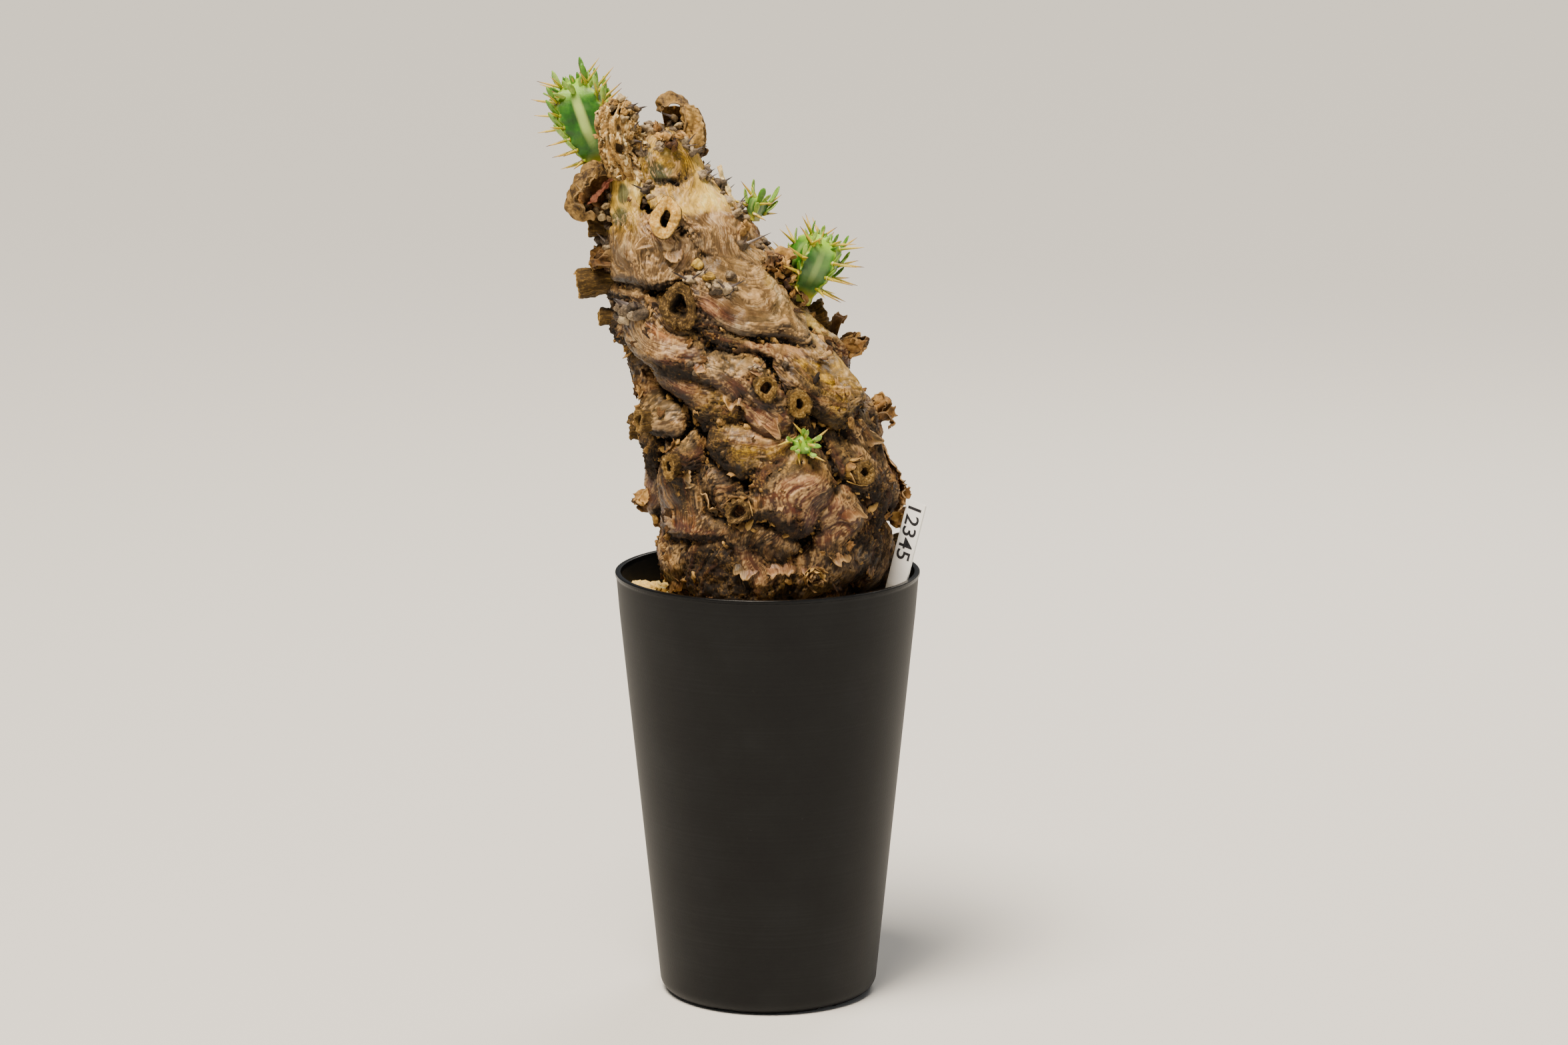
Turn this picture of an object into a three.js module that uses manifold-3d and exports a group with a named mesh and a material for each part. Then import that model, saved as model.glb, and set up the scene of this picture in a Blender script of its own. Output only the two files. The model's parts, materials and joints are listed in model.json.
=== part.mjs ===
// A potted Euphorbia mlanjeana: a leaning, knobbly old caudex in a tall black pot of pumice gravel, with the hollow
// ends of lost branches, dried shoots round its top, four live green shoots, and a plain plant label.
// Millimetres, +Z up. The origin is the middle of the pot's base, and the front faces -Y.
import * as THREE from 'three';
import { mergeVertices } from 'three/addons/utils/BufferGeometryUtils.js';
import Module from 'manifold-3d';

const wasm = await Module();
wasm.setup();

// Driving dimensions
const GAP = 0.35; // clearance between pieces that touch

const POT = {
  height: 170, rimRadius: 60, baseRadius: 42.7, wall: 2.2, floor: 3, rounding: 6, roundingSteps: 3, insideCorner: 4,
  bead: 1.6, beadProud: 0.3, lipEdge: 0.4, sides: 36,
};
const DRAIN = { count: 6, turn: 5, holeRadius: 4, ringRadius: 26, channelWidth: 9, channelDepth: 1.6 };

const SOIL = { top: 158, seed: 11 };
const STONE_RINGS = [[48.6, 14, 3.6], [53, 12, 3]]; // radius of the ring, stones, their radius
const STANDING_STONES = [[-47.2, -8, 4.4], [-49.8, 1, 3.6], [-44.5, -17, 3.2], [24, -46, 2.6]]; // x, y, radius
const STANDING_SHARE = 0.6; // how much of its radius a standing stone's middle lies above the rest

const LABEL = { width: 9.2, thickness: 0.8, length: 64, top: [58.4, -15, 199.8], lean: 13.8, turn: 41 };

// The caudex's core: height, centre x, radius. Its foot stands in the gravel.
const CORE = [
  [118, 2, 24], [126, 2, 31], [146, 1.5, 35.5], [163, 1.2, 36.5], [190, 3, 40], [205, 3, 41], [224, -1.5, 40],
  [250, -8.5, 38.3], [272, -20.5, 32.5], [296, -29, 25.5], [307, -33.5, 22.6], [318, -38.3, 18.4],
  [329, -41.2, 15.2], [338, -42, 12.3], [343, -41.5, 9.5], [345, -41.5, 5],
];
const SKIN = { sides: 50, footRows: 2, rows: 32 };
const SWELLING = { from: 150, full: 160, sag: 0.36, roundness: 0.6, blend: 8 };

// Swellings that show in front: angle round from the front (degrees, + to the right), height, half width,
// half height, tilt (degrees, right end down), rise.
const FRONT_LOBES = [
  [6, 331, 11, 13, 0, 4], [62, 330, 12, 10, 0, 3.5], [-94, 330, 12, 10, 0, 10], [-55, 318, 13, 9, -15, 6],
  [-45, 309, 12, 6, -15, 5], [33, 311, 16, 15, 15, 8], [84, 312, 13, 12, 0, 8], [-41, 298, 21, 15, 0, 9],
  [-92, 300, 12, 10, 0, 6], [2, 297, 9, 10, 0, 4.5], [78, 297, 15, 11, 15, 9], [-62, 282, 14, 7, 10, 6],
  [-95, 283, 11, 9, 0, 7], [90, 285, 12, 9, 0, 7], [34, 281, 23, 17, 25, 10], [3, 273, 9, 10, 20, 4],
  [76, 273, 12, 8, 0, 6],
  [-43, 265, 20, 14, 20, 9], [-85, 267, 12, 9, 0, 8], [5, 266, 12, 7, 25, 5], [92, 264, 13, 8, 0, 8],
  [32, 260, 14, 8, 25, 6], [-8, 253, 16, 9, 25, 6], [-39, 251, 12, 8, 20, 5.5], [50, 248, 20, 17, 15, 10],
  [-80, 249, 13, 9, 10, 6], [7, 242, 9, 9, 30, 5.5], [-21, 241, 16, 11, 10, 4], [-67, 237, 14, 11, 0, 8],
  [90, 233, 13, 9, 0, 8], [9, 232, 8, 7, 0, 4], [-7, 227, 16, 8.5, -15, 7], [-45, 222, 11, 9, 0, 6],
  [-85, 218, 12, 10, 0, 8], [45, 220, 10, 10, 0, 6], [64, 213, 17, 21, 0, 10], [92, 208, 14, 20, -8, 8],
  [-27, 213, 12, 7, 15, 5], [9, 208, 18, 17, 15, 11], [-14, 204, 9, 9, 0, 5], [-50, 200, 21, 14, 10, 9],
  [-96, 199, 13, 12, 0, 8], [38, 199, 13, 11, 20, 7], [-19, 190, 12, 7.5, 10, 6], [0, 190, 11, 7, 10, 6],
  [46, 184, 19, 15, 0, 9], [-37, 180, 12, 11, 0, 7], [-66, 178, 15, 14, 0, 8], [-12, 175, 18, 12, 0, 7],
  [23, 176, 13, 11, 0, 7], [80, 176, 15, 14, 0, 8],
];
// Behind, they go on in a spiral: each sits a golden angle round from the last and a step higher.
const BACK_LOBES = {
  from: 97, to: 268, turn: 137.5, start: 100, low: 166, high: 324, step: 4.4, width: 20, tall: 14, tilts: [12, 28],
  rise: 4, riseWithSize: 5, fullRadius: 40,
};

// Hollow ends of lost branches: angle, height, radius, hole radius, length, upward tilt, height over width.
const STUBS = [
  [-3, 314, 7.3, 2.8, 6, 8, 1.05], [-89, 289, 5.2, 1.7, 14, 2, 1], [-14, 281, 7.2, 2.6, 6, -4, 1.3],
  [11, 252, 4.6, 1.9, 4, 0, 1.1], [24, 245, 5.3, 1.5, 5, -6, 1], [-58, 237, 4.2, 2.2, 4, 0, 1.05],
  [-46, 221, 4.2, 1.5, 5, -8, 1.2], [-16, 205, 4.8, 2.5, 5, 0, 1], [45, 219, 4.9, 1.5, 5, 0, 1.05],
  [97, 271, 6.3, 2.8, 5, 20, 1], [-89, 273, 3.3, 1.3, 6.5, 4, 1], [-88, 229, 4.2, 1.5, 6.5, 0, 1.1],
];
// Behind, one swelling in three has a stub over it, scaled with the swelling.
const BACK_STUB = { every: 3, radius: 5.4, hole: 2, length: 6, above: 0.9, aside: 6, tilts: [-5, 10], stretch: 1.1 };
const STUB = { sink: 5, boreDepth: 2.5, waist: 0.86, waistEnd: 0.5, boreTaper: 0.7, sides: 7, boreSides: 5 };

// Rings of bark strips round broken ends: angle, height, ring radius, strip length, strips, upward tilt.
const FRAYED_ENDS = [
  [20, 178, 4.6, 5, 5, -6], [98, 257, 5, 7, 5, 25], [91, 233, 5, 6, 5, 8], [-16, 205, 6.3, 5, 5, -10],
  [-88, 199, 4, 6, 3, -20], [165, 246, 5, 8, 4, 10],
];
// A strip's two ends and its middle: share of its length (its root is sunk), and its distance from the middle of
// the ring, half width and thickness for a ring radius of 1.
const STRIP = { root: 3, foot: [0.75, 0.5, 0.24], middle: [0.9, 0.42, 0.2], tip: [1.3, 0.14, 0.12] };

// Old spine shields: angle, height, radius, spines on it, spine length.
const SHIELDS = [
  [-18, 323, 2.2, 2, 6], [56, 328, 2.4, 1, 4], [84, 324, 2.6, 1, 4], [70, 319, 2.3, 0, 0], [100, 316, 2.2, 1, 4],
  [-86, 304, 2.6, 0, 0], [-76, 301, 2.2, 0, 0], [49, 303, 1.9, 2, 9], [-4, 292, 1.7, 2, 8], [5, 297, 2, 0, 0],
  [10, 293, 2.2, 0, 0], [18, 289, 1.8, 1, 5], [-55, 279, 2.5, 1, 5], [-42, 279, 2.6, 2, 6], [140, 312, 2.3, 2, 6],
  [200, 303, 2.3, 2, 6], [175, 331, 2.2, 2, 6], [235, 318, 2.3, 2, 6], [255, 292, 2.3, 1, 6],
];
const OLD_SPINE = { radius: 0.75, spread: 0.7, lift: 0.35, upTilt: 10 };

// Dried shoots. A path starts inside the caudex, where the shoot's root is.
const DRIED_STUMP = {
  path: [[-50, -9.5, 325], [-54, -11.5, 332], [-56.5, -13, 340], [-57, -13.5, 348], [-55.5, -13, 355.5]],
  radii: [5.4, 6.8, 7.4, 7, 3.6], sides: 12, rows: 9, root: { radius: 3.6, depth: 6 },
};
// Its folds, and its thorns: from which share of its height up, and the range of angles that they stand in.
const STUMP_FOLDS = [[5, 7, 0.13], [3, -11, 0.07]]; // folds round it, their twist, their depth
const STUMP_THORNS = {
  count: 9, low: 0.55, high: 0.97, from: -0.85 * Math.PI, to: 0.35 * Math.PI, lift: 0.6, start: 3.4, radius: 0.9,
  length: 8, seed: 5,
};
const DRIED_SHELLS = {
  dried_curl: {
    path: [
      [-34, -1, 334.5], [-30.5, -1, 342], [-28.8, -1, 349], [-31, -1, 354.3], [-36.5, -1, 355.8], [-40.5, -1, 353.5],
    ],
    widths: [7, 11, 13, 13, 11, 7], thickness: 2.4, root: { radius: 2.2, depth: 6 },
  },
  dried_hood: {
    path: [
      [-59, -7, 327], [-65, -10, 329.5], [-71, -11.5, 327.5], [-75, -12, 322], [-75, -12, 316], [-71.5, -11.5, 311.5],
      [-66, -11, 310.5],
    ],
    widths: [8, 13, 15, 15, 14, 11, 7], thickness: 3, root: { radius: 2.8, depth: 6 },
  },
  dried_sheath: {
    path: [[-12, 0, 313.5], [-13.8, 0, 319], [-16.2, 0, 324.5], [-18, 0, 329.5]],
    widths: [5, 7, 6.5, 4], thickness: 1.8, root: { radius: 1.5, depth: 5 },
  },
};
const SHELL = { rows: 10, steps: 4, bow: 0.45, thinning: 0.45, ripple: 0.12, ripples: 9 };

// Live shoots: foot, direction, length, corner radius of the ribbed stem, ribs, turn of the ribs, nodes on a rib,
// spines at a node, first node with a leaf, leaf length, spine length, root.
const LIVE_SHOOTS = {
  shoot_crown: {
    foot: [-63.5, 3, 329.5], towards: [-0.36, 0.02, 1], length: 34.5, radius: 12.6, ribs: 4, turn: 45, nodes: 6,
    spines: 2, firstLeaf: 2, leaf: 6.2, spine: 10, root: { radius: 4, depth: 7 },
  },
  shoot_shoulder: {
    foot: [13.3, -2, 280], towards: [0.42, -0.1, 1], length: 24, radius: 10.2, ribs: 5, turn: 20, nodes: 4,
    spines: 2, firstLeaf: 1, leaf: 4.8, spine: 11, root: { radius: 3.4, depth: 7 },
  },
  shoot_upper: {
    foot: [-5, -1, 309.3], towards: [0.3, -0.1, 1], length: 8.5, radius: 4.8, ribs: 3, turn: 30, nodes: 2,
    spines: 1, firstLeaf: 0, leaf: 6.5, spine: 9.5, root: { radius: 2, depth: 6 },
  },
  shoot_front: {
    foot: [13.5, -41, 226.5], towards: [0.08, -1, 0.35], length: 6.5, radius: 4.4, ribs: 5, turn: 18, nodes: 1,
    spines: 1, firstLeaf: 0, leaf: 5.2, spine: 8, root: { radius: 2, depth: 6 },
  },
};
const GIRTH = [[0, 0.6], [0.18, 0.76], [0.45, 1], [0.75, 0.97], [0.92, 0.68], [1, 0.3]]; // share of length, of radius
const STEM = { rowHeight: 4, fewestRows: 4, columnsPerRib: 4, tooth: 0.07, toothWidth: 3 };
// The nodes of one rib stand higher than its neighbours'. Spines point out and down, and leaves out and up.
const NODE = {
  height: 0.55, offset: 0.28, highest: 0.97, lift: 0.15, topLift: 1.1, sink: 1.2, spineRadius: 0.7, spineSpread: 0.42,
  spineDrop: 0.12, leafAbove: 1.1, leafLift: 0.45,
};
const LEAF = [[0, 0.17, 0.2], [0.5, 0.26, 0.27], [1, 0.08, 0.1]]; // share of length, half width, keel
const LEAF_BEND = 0.2;

const LOOKS = {
  pot: { color: 0x17171a, roughness: 0.55 },
  gravel: { color: 0xcbbd96, roughness: 0.95 },
  bark: { color: 0x7d6350, roughness: 0.85 },
  dried: { color: 0xb29465, roughness: 0.9 },
  green: { color: 0x4f9a3a, roughness: 0.45 },
  label: { color: 0xf4f3ea, roughness: 0.4 },
};

// Numbers and directions
const { degToRad, lerp, mapLinear, clamp, smoothstep } = THREE.MathUtils;
const UP = new THREE.Vector3(0, 0, 1);
const BACK = new THREE.Vector3(0, 1, 0);
const vector = (x, y, z) => new THREE.Vector3(x, y, z);
const range = (count, make) => Array.from({ length: count }, (_, i) => make(i));

// A repeatable stream of numbers from 0 to 1.
function seeded(seed) {
  let state = seed;
  return () => {
    state = (Math.imul(state, 1664525) + 1013904223) >>> 0;
    return state / 2 ** 32;
  };
}

// A smooth curve through the rows of a table whose first column rises.
function smoothColumn(rows, column, at) {
  const last = rows.length - 1;
  const x = clamp(at, rows[0][0], rows[last][0]);
  let i = 0;
  while (i < last - 1 && x > rows[i + 1][0]) i += 1;
  const slope = (k) => {
    const before = rows[Math.max(k - 1, 0)];
    const after = rows[Math.min(k + 1, last)];
    return (after[column] - before[column]) / (after[0] - before[0]);
  };
  const span = rows[i + 1][0] - rows[i][0];
  const t = (x - rows[i][0]) / span;
  return lerp(rows[i][column], rows[i + 1][column], t * t * (3 - 2 * t))
    + span * (slope(i) * t * (1 - t) ** 2 - slope(i + 1) * t * t * (1 - t));
}

// The same for a list of values spread evenly from 0 to 1.
const smoothList = (values, share) => smoothColumn(values.map((v, i) => [i, v]), 1, share * (values.length - 1));

// Axes for what points along a direction: out, a side that is level where it can be, and an up square to both.
function axesAlong(direction, hint = Math.abs(direction.clone().normalize().z) > 0.95 ? BACK : UP) {
  const out = direction.clone().normalize();
  const side = hint.clone().cross(out).normalize();
  const up = out.clone().cross(side);
  return { side, up, out };
}

function standing(origin, direction) {
  const { side, up, out } = axesAlong(direction);
  return new THREE.Matrix4().makeBasis(side, up, out).setPosition(origin);
}

// Solids
function solid(geometry) {
  const bare = geometry.clone();
  bare.deleteAttribute('normal');
  bare.deleteAttribute('uv');
  const merged = mergeVertices(bare, 1e-4);
  return new wasm.Manifold(new wasm.Mesh({
    numProp: 3,
    vertProperties: merged.attributes.position.array,
    triVerts: new Uint32Array(merged.index.array),
  }));
}

function geometryOf(manifold) {
  const mesh = manifold.getMesh();
  const geometry = new THREE.BufferGeometry();
  geometry.setAttribute('position', new THREE.BufferAttribute(new Float32Array(mesh.vertProperties), 3));
  geometry.setIndex(new THREE.BufferAttribute(new Uint32Array(mesh.triVerts), 1));
  geometry.computeVertexNormals();
  return geometry;
}

// The same body with its skin moved out by the clearance, to cut its neighbours with.
function grown(manifold) {
  const geometry = geometryOf(manifold);
  const { position, normal } = geometry.attributes;
  range(position.count, (i) => {
    const p = new THREE.Vector3().fromBufferAttribute(position, i);
    p.addScaledVector(new THREE.Vector3().fromBufferAttribute(normal, i), GAP);
    position.setXYZ(i, p.x, p.y, p.z);
  });
  return solid(geometry);
}

const joined = (solids) => wasm.Manifold.union(solids);
const largest = (manifold) => manifold.decompose().reduce((a, b) => (b.volume() > a.volume() ? b : a));

// A closed skin over rings of points, each anticlockwise as seen from the ring after it, with a fan at each end.
function loft(rings) {
  const sides = rings[0].length;
  const middle = (ring) => ring.reduce((sum, p) => sum.add(p), vector(0, 0, 0)).divideScalar(sides);
  const points = [...rings.flat(), middle(rings[0]), middle(rings.at(-1))];
  const top = (rings.length - 1) * sides;
  const index = [];
  for (let i = 0; i < sides; i += 1) {
    const next = (i + 1) % sides;
    for (let row = 0; row < top; row += sides) {
      index.push(row + i, row + next, row + sides + next, row + i, row + sides + next, row + sides + i);
    }
    index.push(points.length - 2, next, i, points.length - 1, top + i, top + next);
  }
  return new THREE.BufferGeometry().setFromPoints(points).setIndex(index);
}

const lathe = (profile, sides) => (
  new THREE.LatheGeometry(profile.map(([r, h]) => new THREE.Vector2(r, h)), sides).rotateX(Math.PI / 2)
);

// A round bar along +Z from one height to another, and a thorn that stands on the origin.
const bar = (low, high, lowRadius, highRadius, sides) => (
  lathe([[0, low], [lowRadius, low], [highRadius, high], [0, high]], sides)
);
const thorn = (radius, length) => lathe([[0, 0], [radius, 0], [0, length]], 3);

// Caudex
const coreX = (height) => smoothColumn(CORE, 1, height);
const coreRadius = (height) => smoothColumn(CORE, 2, height);

function backLobes() {
  const { from, to, turn, start, low, high, step, width, tall, tilts, rise, riseWithSize, fullRadius } = BACK_LOBES;
  return range(Math.floor((high - low) / step), (k) => {
    const height = low + k * step;
    const size = coreRadius(height) / fullRadius;
    const angle = (start + k * turn) % 360;
    return [angle, height, width * size, tall * Math.sqrt(size), tilts[k % 2], rise + riseWithSize * size];
  }).filter(([angle]) => angle > from && angle < to);
}
const LOBES = [...FRONT_LOBES, ...backLobes()];

// How far the swellings stand off the core at an angle and a height.
function swelling(angle, height) {
  let sum = 0;
  LOBES.forEach(([lobeAngle, lobeHeight, halfWidth, halfHeight, tilt, rise]) => {
    const across = degToRad(((angle - lobeAngle + 540) % 360) - 180) * coreRadius(height);
    const along = height - lobeHeight;
    const c = Math.cos(degToRad(tilt));
    const s = Math.sin(degToRad(tilt));
    const inside = 1 - ((across * c - along * s) / halfWidth) ** 2 - ((across * s + along * c) / halfHeight) ** 2;
    if (inside > 0) sum += (rise * inside ** SWELLING.roundness) ** SWELLING.blend;
  });
  return sum ** (1 / SWELLING.blend) * smoothstep(height, SWELLING.from, SWELLING.full);
}

// A point on the bark. The swellings sag: each stands out and a little down.
function barkPoint(angle, height) {
  const stand = swelling(angle, height);
  const radius = coreRadius(height) + stand;
  const a = degToRad(angle);
  return vector(coreX(height) + radius * Math.sin(a), -radius * Math.cos(a), height - SWELLING.sag * stand);
}

function outOfBark(angle, upTilt) {
  const a = degToRad(angle);
  const t = degToRad(upTilt);
  return vector(Math.sin(a) * Math.cos(t), -Math.cos(a) * Math.cos(t), Math.sin(t));
}

function barkSkin() {
  const foot = CORE[0][0];
  const top = CORE.at(-1)[0];
  const heights = [
    ...range(SKIN.footRows, (i) => lerp(foot, SWELLING.from, i / SKIN.footRows)),
    ...range(SKIN.rows + 1, (i) => lerp(SWELLING.from, top, i / SKIN.rows)),
  ];
  return loft(heights.map((height) => range(SKIN.sides, (i) => barkPoint((360 * i) / SKIN.sides, height))));
}

function backStubs() {
  const { every, radius, hole, length, above, aside, tilts, stretch } = BACK_STUB;
  return backLobes().filter((_, i) => i % every === 0).map(([angle, height, , halfHeight, , rise], i) => {
    const size = rise / (BACK_LOBES.rise + BACK_LOBES.riseWithSize);
    return [angle + aside, height + halfHeight * above, radius * size, hole * size, length, tilts[i % 2], stretch];
  });
}

function stub([angle, height, radius, hole, length, upTilt, stretch]) {
  const { sink, boreDepth, waist, waistEnd, boreTaper, sides, boreSides } = STUB;
  const at = standing(barkPoint(angle, height), outOfBark(angle, upTilt));
  const neck = radius * waist;
  const wall = lathe([[0, -sink], [neck, -sink], [neck, length * waistEnd], [radius, length], [0, length]], sides);
  const bore = bar(-boreDepth, length + 1, hole * boreTaper, hole, boreSides);
  const [wallSolid, boreSolid] = [wall, bore].map((g) => solid(g.scale(1, stretch, 1).applyMatrix4(at)));
  return { wall: wallSolid, bore: boreSolid };
}

// Three-sided strips of bark that stand round a broken end and open outwards.
function frayedEnd([angle, height, ringRadius, length, strips, upTilt]) {
  const at = standing(barkPoint(angle, height), outOfBark(angle, upTilt));
  return range(strips, (i) => {
    const reach = length * (0.8 + 0.3 * Math.sin(2.4 * i));
    const rings = [[-STRIP.root, STRIP.foot], [reach / 2, STRIP.middle], [reach, STRIP.tip]];
    const strip = loft(rings.map(([out, shares]) => {
      const [open, halfWidth, thickness] = shares.map((share) => share * ringRadius);
      return [vector(open, -halfWidth, out), vector(open + thickness, 0, out), vector(open, halfWidth, out)];
    }));
    return solid(strip.rotateZ((2 * Math.PI * i) / strips).applyMatrix4(at));
  });
}

function shield([angle, height, radius, spines, spineLength]) {
  const at = barkPoint(angle, height);
  const { side, up, out } = axesAlong(outOfBark(angle, OLD_SPINE.upTilt));
  const nub = new THREE.IcosahedronGeometry(radius, 0).translate(at.x, at.y, at.z);
  const spineSolids = range(spines, (i) => {
    const spread = spines > 1 ? (2 * i - 1) * OLD_SPINE.spread : OLD_SPINE.spread / 2;
    const towards = out.clone().addScaledVector(side, spread).addScaledVector(up, OLD_SPINE.lift);
    return solid(thorn(OLD_SPINE.radius, radius + spineLength).applyMatrix4(standing(at, towards)));
  });
  return [solid(nub), ...spineSolids];
}

// Roots and sockets. A root runs back from where its shoot starts, and its socket is wider by the clearance.
function rootAndSocket({ radius, depth }, start, towards) {
  const at = standing(start, towards);
  const outside = depth + 8;
  const root = bar(-depth, 2, radius, radius, 9);
  const socket = bar(-depth - GAP, outside, radius + GAP, radius + GAP, 9);
  return { root: solid(root.applyMatrix4(at)), socket: solid(socket.applyMatrix4(at)) };
}

// Dried shoots
function driedStump({ path, radii, sides, rows }) {
  const curve = new THREE.CatmullRomCurve3(path.map((p) => vector(...p)));
  const stem = loft(range(rows + 1, (row) => {
    const share = row / rows;
    const at = curve.getPoint(share);
    const { side, up } = axesAlong(curve.getTangent(share), BACK);
    return range(sides, (i) => {
      const a = (2 * Math.PI * i) / sides;
      const folds = STUMP_FOLDS.map(([count, twist, depth]) => depth * Math.sin(count * a + twist * share));
      const radius = smoothList(radii, share) * folds.reduce((sum, fold) => sum + fold, 1);
      return at.clone().addScaledVector(side, radius * Math.cos(a)).addScaledVector(up, radius * Math.sin(a));
    });
  }));
  const { count, low, high, from, to, lift, start, radius, length, seed } = STUMP_THORNS;
  const next = seeded(seed);
  const thorns = range(count, () => {
    const share = lerp(low, high, next());
    const { side, up, out } = axesAlong(curve.getTangent(share), BACK);
    const a = lerp(from, to, next());
    const towards = side.multiplyScalar(Math.cos(a)).addScaledVector(up, Math.sin(a)).addScaledVector(out, lift);
    const foot = curve.getPoint(share).addScaledVector(towards, start);
    return solid(thorn(radius, length).applyMatrix4(standing(foot, towards)));
  });
  return joined([solid(stem), ...thorns]);
}

// A shell of dry skin that curls along a path and bows across it.
function driedShell({ path, widths, thickness }) {
  const curve = new THREE.CatmullRomCurve3(path.map((p) => vector(...p)));
  return solid(loft(range(SHELL.rows + 1, (row) => {
    const share = row / SHELL.rows;
    const at = curve.getPoint(share);
    const { side: lift } = axesAlong(curve.getTangent(share), BACK);
    const half = (smoothList(widths, share) / 2) * (1 + SHELL.ripple * Math.sin(SHELL.ripples * share));
    const face = (side) => range(SHELL.steps + 1, (i) => {
      const across = lerp(-1, 1, i / SHELL.steps);
      const bow = -SHELL.bow * half * across ** 2;
      const skin = side * (thickness / 2) * (1 - SHELL.thinning * across ** 2);
      return at.clone().addScaledVector(BACK, across * half).addScaledVector(lift, bow + skin);
    });
    return [...face(1), ...face(-1).reverse()];
  })));
}

// Live shoots
// The ribbed stem's radius at an angle and a share of its length. Its corners are toothed at the nodes.
function stemRadius({ ribs, radius, nodes }, angle, share) {
  const half = Math.PI / ribs;
  const toCorner = Math.abs(((angle + half) % (2 * half)) - half);
  const flat = Math.cos(half) / Math.cos(half - toCorner);
  const nearCorner = ((flat - Math.cos(half)) / (1 - Math.cos(half))) ** STEM.toothWidth;
  const tooth = STEM.tooth * nearCorner * Math.cos(2 * Math.PI * (share * nodes - 0.5));
  return radius * smoothColumn(GIRTH, 1, share) * (flat + tooth);
}

function leaf(length) {
  return loft(LEAF.map(([share, halfWidth, keel]) => {
    const bend = LEAF_BEND * share ** 2;
    return [vector(halfWidth, bend, share), vector(-halfWidth, bend, share), vector(0, bend - keel, share)]
      .map((p) => p.multiplyScalar(length));
  }));
}

// One node of a rib: its spines, and from the first leafy node up its leaf.
function nodeParts(shoot, rib, node) {
  const share = Math.min(NODE.highest, (node + NODE.height + NODE.offset * (rib % 2)) / shoot.nodes);
  const a = (2 * Math.PI * rib) / shoot.ribs;
  const corner = vector(Math.cos(a), Math.sin(a), 0).multiplyScalar(stemRadius(shoot, a, share));
  const side = vector(-Math.sin(a), Math.cos(a), 0);
  const out = vector(Math.cos(a), Math.sin(a), NODE.lift + NODE.topLift * share ** 2).normalize();
  const foot = corner.setZ(share * shoot.length).addScaledVector(out, -NODE.sink);
  const parts = range(shoot.spines, (i) => {
    const towards = out.clone().addScaledVector(side, (i ? -1 : 1) * NODE.spineSpread);
    towards.addScaledVector(UP, -NODE.spineDrop);
    return thorn(NODE.spineRadius, shoot.spine + NODE.sink).applyMatrix4(standing(foot, towards));
  });
  if (node >= shoot.firstLeaf) {
    const start = foot.clone().addScaledVector(UP, NODE.leafAbove);
    const towards = out.clone().addScaledVector(UP, NODE.leafLift);
    parts.push(leaf(shoot.leaf).applyMatrix4(standing(start, towards)));
  }
  return parts;
}

function liveShoot(shoot) {
  const { ribs, turn, length, nodes } = shoot;
  const columns = ribs * STEM.columnsPerRib;
  const rows = Math.max(STEM.fewestRows, Math.round(length / STEM.rowHeight));
  const stem = loft(range(rows + 1, (row) => range(columns, (i) => {
    const a = (2 * Math.PI * i) / columns;
    const radius = stemRadius(shoot, a, row / rows);
    return vector(radius * Math.cos(a), radius * Math.sin(a), (length * row) / rows);
  })));
  const onRibs = range(ribs, (rib) => range(nodes, (node) => nodeParts(shoot, rib, node))).flat(2);
  return joined([stem, ...onRibs].map((g) => solid(g.rotateZ(degToRad(turn)))));
}

// Pot, gravel and label
const potRadius = (height) => mapLinear(height, 0, POT.height, POT.baseRadius, POT.rimRadius);
const insideRadius = (height) => potRadius(height) - POT.wall;

function pot() {
  const { height, floor, rounding, roundingSteps, insideCorner, bead, beadProud, lipEdge, rimRadius, sides } = POT;
  const lowerEdge = range(roundingSteps + 1, (i) => {
    const a = (Math.PI / 2) * (i / roundingSteps);
    return [potRadius(rounding) - rounding * (1 - Math.sin(a)), rounding * (1 - Math.cos(a))];
  });
  const shell = solid(lathe([
    [0, 0], ...lowerEdge, [potRadius(height - bead) - beadProud, height - bead],
    [rimRadius, height - bead + beadProud], [rimRadius, height - lipEdge], [rimRadius - lipEdge, height],
    [insideRadius(height) + lipEdge, height], [insideRadius(height), height - lipEdge],
    [insideRadius(floor + insideCorner), floor + insideCorner], [insideRadius(floor) - insideCorner, floor],
    [0, floor],
  ], sides));
  const reach = potRadius(0) + 4 - DRAIN.ringRadius;
  const cuts = range(DRAIN.count, (i) => {
    const hole = bar(-1, floor + 1, DRAIN.holeRadius, DRAIN.holeRadius, 12).translate(DRAIN.ringRadius, 0, 0);
    const channel = new THREE.BoxGeometry(reach, DRAIN.channelWidth, 2 * DRAIN.channelDepth)
      .translate(DRAIN.ringRadius + reach / 2, 0, 0);
    const angle = degToRad(DRAIN.turn + (360 * i) / DRAIN.count);
    return joined([hole, channel].map((g) => solid(g.rotateZ(angle))));
  });
  return shell.subtract(joined(cuts));
}

// What the gravel may fill inside the pot, up to a height.
function gravelSpace(top) {
  const low = POT.floor + GAP;
  const corner = POT.insideCorner + GAP;
  return solid(lathe([
    [0, low], [insideRadius(low) - GAP - corner, low], [insideRadius(low + corner) - GAP, low + corner],
    [insideRadius(top) - GAP, top], [0, top],
  ], POT.sides));
}

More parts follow.
